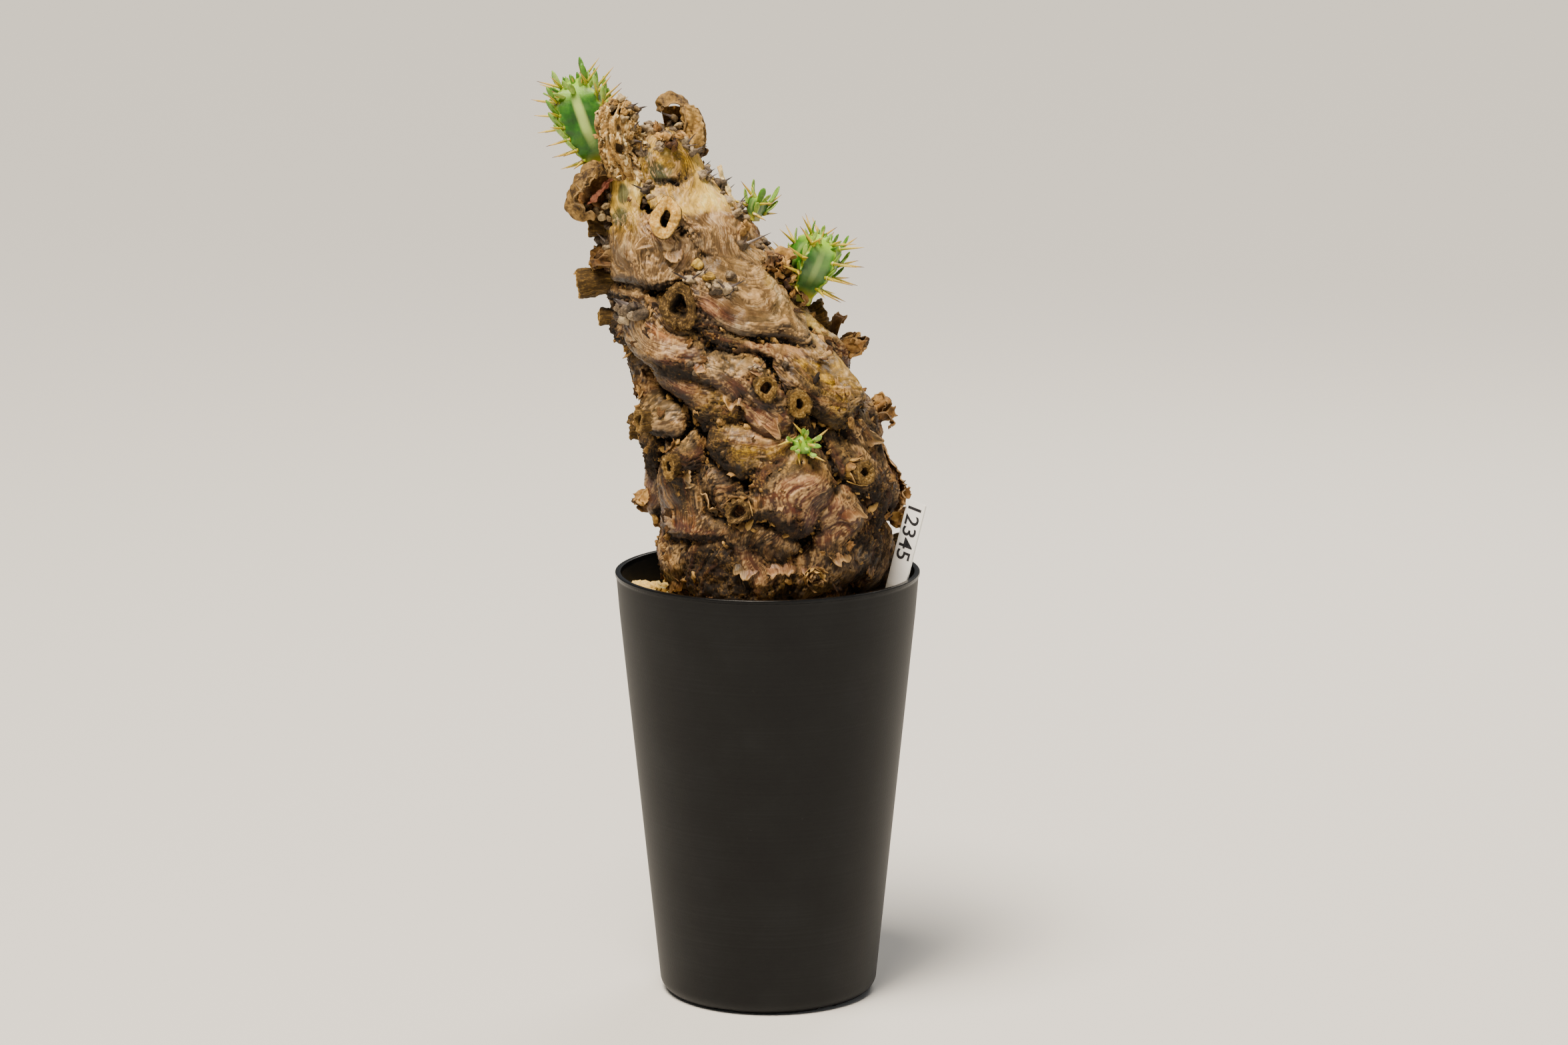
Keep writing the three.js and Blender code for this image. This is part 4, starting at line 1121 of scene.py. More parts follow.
def add_stub(heap, seed, angle, height, radius, hole, length, tilt, stretch, point, fresh):
    place = np.array(bark_place(angle, height)[0])
    side, up, out = axes_along(outward(angle, tilt))
    section = [column[:, None] for column in stub_section(radius, hole, length).T]
    reach, wide, cut, deep, around = np.broadcast_arrays(*section, turns(STUB["columns"])[None])
    rim = np.stack([np.cos(around) * radius, np.sin(around) * radius, reach * 0.25], -1)
    ridges = waves(rim, radius * 0.5, 10, seed) * STUB["ridge"] * (1 - cut) * (1 - deep)
    broad = 0.09 * np.sin(2 * around + seed) + 0.06 * np.sin(3 * around + 2 * seed)
    wide = wide * (1 + broad + point * np.exp(-((around - math.pi / 2) / 0.4) ** 2)) + ridges
    wide = wide + waves(rim, radius * 2.4, 10, seed + 50) * 0.2 * hole * np.maximum(cut, deep)
    flat = rim * (1, 1, 0)
    broken = waves(flat, 9, 8, seed + 90) + 0.4 * waves(flat, 2.6, 8, seed + 91)
    outer = np.clip((reach / length - 0.5) * 2, 0, 1)
    reach = reach + broken * STUB["chip"] * radius / 4 * outer * (1 - deep)
    spot = np.stack([np.cos(around) * wide, np.sin(around) * wide, reach], -1)
    crumble = (waves(spot, 2.6, 14, seed + 200) + 0.5 * waves(spot, 1.2, 14, seed + 201)) * STUB["crumble"]
    crumble = crumble * (1 - 0.85 * fresh) * (1 - deep)
    wide, reach = wide + crumble * (1 - cut), reach + crumble * cut
    near_hole = np.clip((radius - wide) / (radius - hole), 0, 1) * np.maximum(cut, deep)
    across = wide * np.cos(around) * (1 - 0.5 * fresh * near_hole)
    rings = place + side * across[..., None] + up * (wide * np.sin(around) * stretch)[..., None]
    points, faces = closed_tube(rings + out * reach[..., None])
    heap.add(points, faces, cut=with_ends(cut), deep=with_ends(deep), fresh=fresh, out=with_ends(reach),
             turn=with_ends(around * radius), wide=with_ends(wide))


def stub_finish():
    """Corky, ridged sides, a paler cut face with rings and rays, and painted shade deep in the hole."""
    cork = Finish("stub_cork", Roughness=0.85, Specular_IOR_Level=0.3)
    place, cut, fresh = cork.place(), cork.attribute("cut"), cork.attribute("fresh")
    lengthwise = {"X": cork.attribute("turn"), "Y": cork.attribute("out") * 0.15}
    across = cork.add("ShaderNodeCombineXYZ", None, lengthwise)
    strands, grain = cork.noise(across, 0.8, 4, 0.6), cork.noise(place, 1.2, 4, 0.65)
    sides = shaded(cork, strands * 0.6 + grain * 0.4, (0x160E04, 0x483410, 0x927238), 0.32, 0.7)
    old_face = shaded(cork, grain, (0x0C0703, 0x3C2A10, 0x8E6E3C), 0.38, 0.68)
    new_face = shaded(cork, grain, (0x94681E, 0xC49848, 0xE6C880), 0.3, 0.72)
    face = cork.mix(old_face, new_face, fresh)
    layers = cork.add("ShaderNodeMath", {"operation": "SINE"}, {0: cork.attribute("wide") * 7 + grain * 5})
    face = cork.mix(face, 0x24170C, layers.step(0.2, 1.0) * (1 - fresh * 0.9) * 0.55)
    look = cork.mix(sides, face, cut.step(0.3, 0.8))
    # Painted shade darkens the hole the deeper it goes.
    look = cork.mix(look, 0x120A05, cork.attribute("deep").step(0.1, 0.9))
    cork.set(Base_Color=look)
    cork.bump(strands * 0.5 + grain * 0.5, 0.35)
    return cork.material


stubs = Heap("cut", "deep", "fresh", "turn", "out", "wide")
for number, stub in enumerate(ALL_STUBS):
    add_stub(stubs, number, *stub)
keep(stubs.mesh("branch_stubs", stub_finish()), "bark", "caudex")

# %% [markdown]
# ## Frayed bark
# Where a branch broke off roughly, its bark splits into strips that curl outwards round the break. A
# strip is a thin ribbon, so we give it a path that starts inside the ring and flares out, a width that
# tapers raggedly, and a seeded bend. Between six and thirty-four of them make a tuft.

# %% Frayed ends
# Angle, height, ring radius, strip length, strips, upward tilt, how far they flare.
FRAYED_ENDS = [
    (20, 178, 4.6, 4.6, 34, -6, 0.5), (-16, 205, 6.3, 4.4, 12, -10, 0.8),
    (-88, 288, 5.4, 11.4, 12, -8, 0.12), (24, 245, 6, 3.6, 10, -6, 0.5), (45, 219, 6, 3.6, 14, 0, 0.5),
    (-3, 313, 7.4, 3, 6, 6, 0.7),
]
# A tuft with more strips than "dense" fills its ring, and goes round it three times.
RIBBON = {"rows": 7, "root": 2.5, "thickness": 0.32, "half width": (0.7, 1.6), "dense": 20}


def ribbon(path, across, half_width, thickness):
    """Rings of four points along a path."""
    normal = unit(np.cross(np.gradient(path, axis=0), across)) * (thickness / 2)[:, None]
    reach = across * half_width[:, None]
    corners = [path + reach + normal, path - reach + normal, path - reach - normal, path + reach - normal]
    return np.stack(corners, 1)


def add_frayed_end(heap, seed, angle, height, radius, length, strips, tilt, flare):
    draw = np.random.default_rng(seed)
    place = np.array(bark_place(angle, height)[0])
    side, up, out = axes_along(outward(angle, tilt))
    share = np.linspace(0, 1, RIBBON["rows"])
    dense = strips > RIBBON["dense"]
    for i in range(strips):
        turn = 2 * math.pi * (i + 0.6 * draw.random()) / strips * (3 if dense else 1)
        start = radius * draw.uniform(0.35 if dense else 0.75, 1.0)
        reach = length * draw.uniform(0.45, 1.1)
        bend = draw.uniform(-0.5, 1.0) * flare
        swing = turn + draw.uniform(-0.5, 0.5) * share ** 2
        open_by = start * 0.85 + share ** 2 * bend * radius * 0.8
        away = side * np.cos(swing)[:, None] + up * np.sin(swing)[:, None]
        ahead = (share * (reach + RIBBON["root"]) - RIBBON["root"]) * (1 - 0.25 * abs(bend) * share)
        path = place + away * open_by[:, None] + out * ahead[:, None]
        half = draw.uniform(*RIBBON["half width"]) * radius / 5
        half = half * (1 - 0.5 * share ** 3) * (1 + 0.25 * np.sin(7 * share + i))
        rings = ribbon(path, np.cross(out, away), half, RIBBON["thickness"] * (1.2 - 0.6 * share))
        points, faces = closed_tube(rings)
        heap.add(points, faces, shade=draw.random(), tip=with_ends(np.repeat(share[:, None], 4, 1)))


def husk_finish(name="husk", colours=(0x1C1006, 0x6C4816, 0xC29A4C)):
    """Dry, papery skin: streaked along its length and paler at its torn edges."""
    husk = Finish(name, Roughness=0.75, Specular_IOR_Level=0.35)
    place = husk.place()
    grain, broad = husk.noise(place, 1.3, 4, 0.6), husk.noise(place, 4.0, 3)
    mixed = husk.attribute("shade") * 0.35 + grain * 0.35 + broad * 0.3
    look = shaded(husk, mixed, colours, 0.3, 0.68)
    hue = husk.attribute("hue")
    look = husk.mix(look, shaded(husk, mixed, (0x2A190A, 0x785222, 0xBC924C), 0.3, 0.68), hue.step(0.0, 1.0))
    look = husk.mix(look, shaded(husk, mixed, (0x441810, 0x8A4430, 0xCC8C6C), 0.3, 0.68), hue.step(1.0, 2.0))
    husk.set(Base_Color=husk.mix(look, 0xB4966A, husk.attribute("tip") * 0.25))
    husk.bump(grain, 0.3)
    return husk.material


husk = husk_finish()
tufts = Heap("shade", "tip")
for number, frayed in enumerate(FRAYED_ENDS):
    add_frayed_end(tufts, 100 + number, *frayed)
keep(tufts.mesh("frayed_strips", husk), "bark", "caudex")

# %% [markdown]
# ## Peeling plates
# On some swellings a whole plate of skin has come loose and stands off with a dark gap behind it. A plate
# is a curved sheet that follows the bark, so we work out its points with the same formula as the bark's
# and lift them towards the free edge, which is torn by noise. The hinge and the sides stay sunk, and the
# plate wears the bark's own finish, so that it reads as bark that came loose.

# %% Plates
# Angle, height of the hinge, half width, length, direction it points to (degrees, 0 up, 90 right), lift
# of the free edge, and how pink it is.
PLATES = [
    (91, 211, 21, 11, -90, 2.4, 1), (4, 185, 7, 7, 180, 2.2, 1), (17, 184, 4, 6, 170, 2.0, 0.9),
    (-12, 184, 6, 5, 195, 1.6, 0.2), (5, 243, 6, 8, 160, 1.8, 0.9), (-6, 248, 6, 5, 200, 1.2, 0.5),
    (-38, 203, 6, 6, 40, 1.5, 0.2), (33, 205, 6, 7, 120, 1.4, 0.3), (58, 230, 5, 6, 100, 1.4, 0.3),
    (-70, 296, 5, 6, -60, 3.2, 0.1), (-80, 295, 4, 6, -20, 3.6, 0.1), (10, 262, 5, 6, 150, 1.2, 0.6),
    (-18, 307, 3, 4.6, -110, 2.4, 1.6), (-8, 304, 4, 4, 175, 2.4, 1.5), (10, 311, 2.6, 4.6, 60, 2.2, 1.6),
    (-20, 262, 5, 5, 150, 1.5, 1.3), (-46, 216, 5, 6, 100, 2.0, 0.2), (30, 190, 5, 6, 160, 1.4, 0.4),
    (60, 182, 6, 7, 200, 1.6, 0.4), (-60, 176, 5, 8, 175, 2.0, 0.3), (-84, 176, 5, 12, 180, 2.6, 0.5),
    (64, 300, 4, 6, 130, 2.2, 0.3), (72, 292, 4, 6, 60, 2.4, 0.3), (78, 284, 5, 6, 100, 2.0, 0.2),
    (130, 270, 8, 8, 160, 2.0, 0.6), (170, 214, 10, 9, 190, 2.0, 0.7), (215, 246, 8, 8, 150, 2.0, 0.3),
    (240, 196, 8, 9, 170, 2.2, 0.8), (150, 184, 8, 7, 200, 2.0, 0.3), (200, 288, 7, 7, 170, 2.0, 0.5),
]
PLATE = {"rows": 12, "thickness": 0.4, "sink": 1.6, "tear": 0.2, "wave": 0.5}


def add_plate(heap, seed, angle, height, half_width, length, direction, lift, pink):
    columns = max(13, int(half_width * 2.4))
    along, across = np.meshgrid(np.linspace(0, 1, PLATE["rows"]), np.linspace(-1, 1, columns), indexing="ij")
    edge = np.stack([across * half_width, np.full_like(across, seed * 9.0), 0 * across], -1)
    torn = 1 + PLATE["tear"] * waves(edge, 5, 10, seed) + 0.4 * PLATE["tear"] * waves(edge, 1.6, 10, seed + 1)
    round_off = np.sqrt(np.clip(1 - across ** 2, 0, 1))
    forward = along * length * np.clip(torn * (0.35 + 0.65 * round_off), 0.1, 1.6)
    d = math.radians(direction)
    sideways = across * half_width * (1 - 0.25 * along ** 2)
    right, up = forward * math.sin(d) + sideways * math.cos(d), forward * math.cos(d) - sideways * math.sin(d)
    heights = height + up
    angles = angle + np.degrees(right / core_radius(heights))
    field = {**bark_field(angles, heights), **tone_field(angles, heights)}
    free = along ** 1.3 * round_off ** 0.7
    ruffle = PLATE["wave"] * waves(np.stack([right, up, 0 * up], -1), 4, 8, seed + 2)
    stand = field["stand"] - PLATE["sink"] * (1 - free) + (lift + 0.8) * free + ruffle * free
    points, faces, number = thin_sheet(on_bark(angles, heights, stand), PLATE["thickness"])
    tint = "rust" if pink > 1 else "pink"
    field[tint] = np.maximum(field[tint], min(pink, 1))
    values = {key: field[key].ravel()[number] for key in TONES}
    heap.add(points, faces, fibre=field["fibre"].reshape(-1, 3)[number], facing=0.5,
             edge=along.ravel()[number] ** 9, **values)


plates = Heap("fibre", "facing", "edge", *TONES)
for number, row in enumerate(PLATES):
    add_plate(plates, number, *row)
keep(plates.mesh("bark_plates", bark), "bark")

# %% [markdown]
# ## Old shields and spines
# Each node of an old branch keeps a horny shield with one or two spines, grey with a black tip. The
# spines are the same form at different sizes and directions, so one Geometry Nodes tree places them all:
# every point of a small mesh says where a spine starts, where it aims and how big it is.

# %% Rule for aimed forms
def aimed_rule(name, material):
    """One form on every point, with its Z along the point's aim and its X along the point's side."""
    rule = Rule(name, Form=bpy.data.objects[name + "_form"], Material=material, Scale=1.0, Seed=3)
    turn = rule.add("FunctionNodeAxesToRotation", {"primary_axis": "Z", "secondary_axis": "X"},
                    {"Primary Axis": rule.attribute("aim", "FLOAT_VECTOR"),
                     "Secondary Axis": rule.attribute("side", "FLOAT_VECTOR")})
    form = rule.add("GeometryNodeObjectInfo", None, {"Object": rule.input("Form")}, "Geometry")
    scale = rule.attribute("size", "FLOAT_VECTOR").times(rule.input("Scale"))
    placed = rule.add("GeometryNodeInstanceOnPoints", None,
                      {"Points": rule.input(), "Instance": form, "Rotation": turn, "Scale": scale})
    placed = rule.store(placed, "shade", rule.random(0.0, 1.0, rule.input("Seed")), "INSTANCE")
    rule.end(placed, rule.input("Material"))
    return rule


def place_forms(name, form, material, rows, slot, *nodes):
    """Places a form on each row, which holds a start, an aim, a side and a size. A form is its points and
    faces, with its tips, which say how near each of its points is to its end."""
    starts, aims, sides, sizes = zip(*rows)
    shape, tips = form
    pattern = mesh_object(name + "_form", *shape, attributes={"tip": tips})
    base = mesh_object(name, starts, [], attributes={"aim": aims, "side": sides, "size": sizes})
    made = aimed_rule(name, material).run(base, name)
    bpy.data.objects.remove(pattern)
    keep(made, slot, *nodes)


print("a row for place_forms is a start, an aim, a side and a size")

# %% [markdown]
# ## One spine
# A spine is a slender cone, a little thicker at its foot. We turn a short section about Z once, because
# the rule stretches and aims it.

# %% Spine form and finish
def spine_form(columns=7):
    """A spine of length 1 and radius 1 along Z, a little thicker where it leaves its shield."""
    section = [(1.25, -0.12), (1.2, 0.0), (0.86, 0.1), (0.66, 0.35), (0.36, 0.7), (0.07, 0.96)]
    points, faces = closed_tube(turned_rings(section, columns))
    return (points, faces), np.clip(points[:, 2], 0, 1)


def spine_finish(name, colours):
    """From the colour of the foot through that of the middle to a dark tip."""
    spine = Finish(name, Roughness=0.42, Specular_IOR_Level=0.5)
    along = spine.attribute("tip") + (spine.attribute("shade") - 0.5) * 0.3
    stops = list(zip((0.0, 0.35, 0.8, 1.0), (colour(code) for code in colours)))
    look = spine.add("ShaderNodeValToRGB", {"stops": stops}, {"Fac": along}, "Color")
    grain = spine.noise(spine.place(), 0.6, 3)
    spine.set(Base_Color=spine.mix(look, 0x2A2018, grain.step(0.55, 0.8) * 0.4))
    spine.bump(grain, 0.1)
    return spine.material


print("points of a spine:", len(spine_form()[0][0]))

# %% [markdown]
# ## Shields on the bark
# Most shields sit in rows where a branch once grew. The clear ones are listed one by one, and runs of
# smaller ones are drawn with a seed between two angles and two heights.

# %% Old shields
# Angle, height, radius, spines, spine length.
SHIELDS = [
    (-18, 323, 2.2, 2, 6), (56, 328, 2.4, 1, 4), (84, 324, 2.6, 1, 4), (70, 319, 2.3, 0, 0),
    (100, 316, 2.2, 1, 4), (-86, 304, 2.6, 0, 0), (-76, 301, 2.2, 0, 0), (49, 303, 2.6, 2, 10),
    (-4, 291, 2.4, 2, 9), (5, 297, 2.2, 0, 0), (10, 293, 2.2, 0, 0), (18, 289, 2.6, 2, 8),
    (-57, 279, 3.4, 1, 6), (-44, 280, 3.6, 2, 7), (140, 312, 2.3, 2, 6), (200, 303, 2.3, 2, 6),
    (175, 331, 2.2, 2, 6), (235, 318, 2.3, 2, 6), (255, 292, 2.3, 1, 6),
]
CREAMY = (9, 10)  # the two round, cream-yellow ones below the top stub
# More, smaller ones: angles, heights, count, radii, share with a spine, seed.
SHIELD_RUNS = [
    ((-60, 120), (336, 346), 44, (1.1, 2.2), 0.55, 41), ((60, 112), (312, 332), 22, (1.2, 2.2), 0.35, 42),
    ((-98, -74), (296, 311), 12, (1.2, 2.1), 0.2, 43), ((-100, -70), (311, 326), 12, (1.1, 2.0), 0.3, 44),
    ((-20, -8), (319, 326), 6, (1.0, 1.7), 0.5, 45), ((-66, -38), (274, 281), 8, (1.8, 3.0), 0.35, 46),
    ((4, 26), (284, 294), 9, (1.2, 2.3), 0.5, 47), ((120, 250), (300, 338), 26, (1.1, 2.1), 0.4, 48),
    ((62, 88), (284, 306), 12, (1.0, 1.8), 0.2, 49), ((-30, 40), (255, 264), 7, (0.9, 1.5), 0.2, 50),
]
# A spine has its full radius on a shield of the radius "on". Runs draw their spines' lengths and their
# shields' tilts.
OLD_SPINE = {
    "radius": 0.62, "on": 2.2, "spread": 0.7, "lift": 0.35, "up tilt": 10, "lengths": (3, 6),
    "tilts": (-20, 40), "side": (0.1, 1, 0.2),
}
NUB = {"rings": (9, 14), "dents": 0.2, "crest": 0.35, "wide": 1.05, "tall": 0.85}
GOLDEN = 0.618  # a step that spreads shades evenly


def shield_places():
    """Every shield: where it sits, its axes, its radius, spines, spine length and how creamy it is."""
    found = []
    for number, (angle, height, radius, spines, length) in enumerate(SHIELDS):
        found.append((angle, height, radius, spines, length, number in CREAMY, OLD_SPINE["up tilt"]))
    for angles, heights, count, radii, with_spine, seed in SHIELD_RUNS:
        draw = np.random.default_rng(seed)
        for _ in range(count):
            spines = 1 if draw.random() < with_spine else 0
            found.append((draw.uniform(*angles), draw.uniform(*heights), draw.uniform(*radii), spines,
                          draw.uniform(*OLD_SPINE["lengths"]), False, draw.uniform(*OLD_SPINE["tilts"])))
    return found


def add_nub(heap, seed, place, axes, radius, **values):
    """A knob with a blunt crest and a few dents."""
    side, up, out = axes
    shape = ball(*NUB["rings"])
    size = radius * (1 + NUB["dents"] * waves(shape * radius, radius * 1.7, 8, seed))
    crest = 1 + NUB["crest"] * np.clip(shape[..., 2], 0, 1) ** 4
    squash = np.stack([np.full_like(crest, NUB["wide"]), np.full_like(crest, NUB["tall"]), crest], -1)
    shape = shape * size[..., None] * squash
    points, faces = closed_tube(place + shape[..., :1] * side + shape[..., 1:2] * up + shape[..., 2:] * out)
    heap.add(points, faces, **values)


def old_spine(place, aim, radius, length, share=1):
    """The row of a spine that starts inside a nub of this radius."""
    thickness = OLD_SPINE["radius"] * share
    return place + aim * radius * 0.5, aim, OLD_SPINE["side"], (thickness, thickness, length + radius * 0.5)


def shields_and_spines():
    nubs, spines = Heap("shade", "cream"), []
    for seed, (angle, height, radius, count, length, creamy, tilt) in enumerate(shield_places()):
        place = np.array(bark_place(angle, height)[0])
        side, up, out = axes_along(outward(angle, tilt))
        add_nub(nubs, seed, place, (side, up, out), radius, shade=(seed * GOLDEN) % 1, cream=float(creamy))
        for i in range(count):
            spread = (2 * i - 1) * OLD_SPINE["spread"] if count > 1 else OLD_SPINE["spread"] / 2
            aim = unit(out + spread * side + OLD_SPINE["lift"] * up)
            spines.append(old_spine(place, aim, radius, length, radius / OLD_SPINE["on"]))
    return nubs, spines


def nub_finish():
    nub = Finish("old_shield", Roughness=0.7, Specular_IOR_Level=0.4)
    place = nub.place()
    grain, broad = nub.noise(place, 0.9, 4, 0.6), nub.noise(place, 2.6, 3)
    mixed = grain * 0.45 + broad * 0.3 + nub.attribute("shade") * 0.25
    grey = shaded(nub, mixed, (0x18110B, 0x5E4E3A, 0xB8A27E), 0.32, 0.66)
    cream = shaded(nub, mixed, (0x5E4410, 0xB08C34, 0xE4CC74), 0.32, 0.66)
    nub.set(Base_Color=nub.mix(grey, cream, nub.attribute("cream")))
    nub.bump(grain, 0.3)
    return nub.material


nubs, old_spines = shields_and_spines()
nub_look = nub_finish()
keep(nubs.mesh("old_shields", nub_look), "bark", "caudex")
old_spine_look = spine_finish("old_spine", (0x8C8078, 0x5C5250, 0x241F20, 0x0C0B0D))
place_forms("old_spines", spine_form(), old_spine_look, old_spines, "bark", "caudex")

# %% [markdown]
# ## Dried shoots
# Shoots that died at the top are shrivelled: one is an upright stump with crumbling ridges, and three are
# sheets of empty skin that curl over. Each follows a path of a few points, as its solid in the CAD model
# does. The stump is a ring swept along its path, folded by a sum of sines. The sheets are thin grids that
# bow across the path, tear at their edges and wrinkle.

# %% Dried shoots
# A stump's girth and height in mm scale its ridges and pits. Folds: how many, their twist and their depth.
DRIED_STUMP = {
    "girth": 7, "height": 32,
    "path": [
        (-50, -9.5, 325), (-54, -11.5, 332), (-56.5, -13, 340), (-57, -13.5, 348), (-55.5, -13, 355.5),
    ],
    "radii": (5, 6.1, 6.5, 6.2, 3.4), "rows": 110, "columns": 120,
    "folds": [(5, 7, 0.13), (3, -11, 0.07)],
}
ALONG_Y, ALONG_X = (0, 1, 0), (1, 0, 0)
# Each sheet's path, widths, thickness, bow, wrinkle, direction across, and hue (0 tan, 1 dark, 2 maroon).
DRIED_SHEETS = {
    "dried_curl": [
        (
            [
                (-34, -1, 334.5), (-30.5, -1, 342), (-28.8, -1, 349), (-31, -1, 354.3),
                (-36.5, -1, 356.2), (-41, -1, 354.6), (-41.8, -1, 350.8),
            ],
            (7, 11, 13, 13, 12, 11, 7), 0.7, 0.3, 0.7, ALONG_Y, 0,
        ),
        (
            [(-30.5, -5, 332), (-28.6, -6.3, 339), (-28.2, -6.6, 346), (-30.5, -6, 353.4)],
            (7, 9, 8.5, 6), 0.6, 0.35, 0.55, ALONG_X, 0,
        ),
        ([(-35, 3, 335), (-34.5, 4, 343), (-34.8, 4, 352)], (9, 11, 11), 0.6, -0.3, 0.8, ALONG_X, 1),
        (
            [(-27.6, -3, 352), (-24.8, -4, 347), (-23.8, -4, 341), (-24.6, -4, 335)], (2.6, 1.8, 1.4, 1),
            0.5, 0.2, 0.3, ALONG_X, 0,
        ),
    ],
    "dried_hood": [
        (
            [
                (-59, -7, 327), (-65, -10, 329.5), (-71, -11.5, 327.5), (-75, -12, 322), (-75, -12, 316),
                (-71.5, -11.5, 311.5), (-66, -11, 310.5),
            ],
            (8, 13, 15, 15, 14, 11, 7), 0.8, 0.45, 1.0, ALONG_Y, 0,
        ),
        (
            [(-61, -4, 329), (-66.5, -4, 324), (-67, -4, 316.5), (-63, -5, 310.5)], (11, 16, 16, 11), 0.7,
            -0.3, 1.0, ALONG_X, 1,
        ),
        (
            [(-60, -10, 324.5), (-63.5, -12, 321), (-67, -13, 316.5)], (4, 6, 4), 0.5, 0.3, 0.7,
            (0.7, 0, 0.7), 2,
        ),
        (
            [(-58, -9, 328), (-63, -14, 329.6), (-68.5, -16.5, 327.5), (-72.5, -17, 323)], (5, 6, 6, 3),
            0.6, 0.5, 0.9, (0.3, 0.9, 0.3), 0,
        ),
    ],
    "dried_sheath": [
        (
            [(-12, 0, 313.5), (-13.8, 0, 319), (-16.2, 0, 324.5), (-18, 0, 329.5)], (5, 7, 6.5, 4), 0.6,
            0.45, 0.35, ALONG_Y, 0,
        ),
    ],
}
# Which way the nubs of each dried shoot face, and each nub's x, y, z, radius and spine length.
DRIED_NUBS = {
    "dried_hood": (
        (-0.3, -1, 0.3),
        [
            (-66, -11, 313.5, 1.7, 0), (-62, -11, 315, 1.5, 0), (-69, -11, 315.5, 1.3, 0),
            (-63.5, -10, 311, 1.8, 0), (-67, -9, 318, 1.3, 0), (-60, -10, 318.5, 1.4, 6),
            (-58.5, -10, 313, 1.7, 0), (-60.5, -10, 310, 1.5, 0),
        ],
    ),
    "dried_stump": (
        (0.8, -0.6, 0.2),
        [
            (-52.5, -17.5, 353.5, 1.8, 5), (-50.6, -16, 349.5, 2.0, 6.5), (-51, -17.5, 345.5, 1.6, 6),
            (-55.5, -16.5, 357, 1.5, 0), (-51.2, -17, 341, 1.3, 4), (-58.5, -18.5, 353.5, 1.3, 0),
            (-54, -19, 349.5, 1.5, 0), (-49.8, -13, 352.5, 1.6, 5), (-62.5, -15.5, 343.5, 1.5, 5),
        ],
    ),
    "dried_curl": (
        (-1, -0.5, 0.05),
        [
            (-35.5, -5, 348.5, 1.8, 8), (-33.5, -5.5, 345.5, 1.5, 0), (-36, -5.5, 342.8, 1.6, 6),
            (-33, -7, 340.5, 1.7, 0), (-38, -6.5, 340, 1.6, 4),
        ],
    ),
}
SHEET = {
    "detail": (60, 34), "thinning": 0.45, "ripple": 0.1, "ripples": 9, "tear": 0.07, "trim": 0.05,
    "noise length": 30, "noise apart": 7.0,
}


def smooth_path(points, count):
    """Points spread along a smooth curve through a few points, and the curve's directions there."""
    knots = np.array(points, float)
    rows = np.column_stack([np.arange(len(knots)), knots])
    at = np.linspace(0, len(knots) - 1, count)
    path = np.stack([smooth_column(rows, k, at) for k in (1, 2, 3)], -1)
    return path, np.gradient(path, axis=0)


def across_path(directions, hint=(0, 1, 0)):
    """Two directions square to each point's direction of a path."""
    out = unit(directions)
    side = unit(np.cross(hint, out))
    return side, np.cross(out, side)


def dried_stump():
    s = DRIED_STUMP
    path, directions = smooth_path(s["path"], s["rows"])
    side, up = across_path(directions)
    share = np.linspace(0, 1, s["rows"])[:, None]
    around = turns(s["columns"])[None]
    folds = 1 + sum(depth * np.sin(count * around + twist * share) for count, twist, depth in s["folds"])
    radius = smooth_column(list(enumerate(s["radii"])), 1, share * (len(s["radii"]) - 1)) * folds
    round_it = [s["girth"] * np.cos(around), s["girth"] * np.sin(around), s["height"] * share]
    spot = np.stack(np.broadcast_arrays(*round_it), -1)
    ridges = waves(spot * (1, 1, 0.16), 3.4, 14, 61)
    pits = np.clip(waves(spot * (1, 1, 0.45), 4.2, 12, 62) - 0.45, 0, 1)
    radius = radius + 1.2 * np.abs(ridges) - 1.7 * pits
    rings = path[:, None] + side[:, None] * (radius * np.cos(around))[..., None]
    rings = rings + up[:, None] * (radius * np.sin(around))[..., None]
    points, faces = closed_tube(rings)
    across, along = np.broadcast_arrays(around * s["girth"], s["height"] * share)
    fibre = np.column_stack([with_ends(across), with_ends(along), np.full(len(points), 5.0)])
    attributes = {key: np.zeros(len(points)) for key in KEPT}
    attributes.update(fibre=fibre, above=np.ones(len(points)), collar=np.full(len(points), 1.2))
    attributes.update(crease=with_ends(pits))
    return mesh_object("dried_stump_skin", points, faces, None, attributes)


def dried_finish():
    """Cream and tan, crumbling tissue, with painted shade in its hollows."""
    dried = Finish("dried_tissue", Roughness=0.85, Specular_IOR_Level=0.3)
    fibre, place = dried.attribute("fibre", "Vector"), dried.place()
    strands = dried.streaks(fibre, 1.0, 7, 4, 0.65)
    broad, grain = dried.noise(place, 4.0, 3), dried.noise(place, 1.2, 4, 0.65)
    mixed = strands * 0.4 + broad * 0.3 + grain * 0.3
    look = shaded(dried, mixed, (0x2A1A08, 0xA88244, 0xFAE6B0), 0.36, 0.64)
    look = dried.mix(look, 0x1C1006, dried.attribute("crack") * 0.8)
    # Painted shade darkens the pits.
    look = dried.mix(look, 0x140B04, dried.attribute("crease").step(0.1, 0.7) * 0.85)
    dried.set(Base_Color=dried.mix(look, 0x6B4A2A, dried.attribute("rough") * grain.step(0.5, 0.3) * 0.7))
    dried.bump(strands * 0.5 + grain * 0.5, 0.4)
    return dried.material


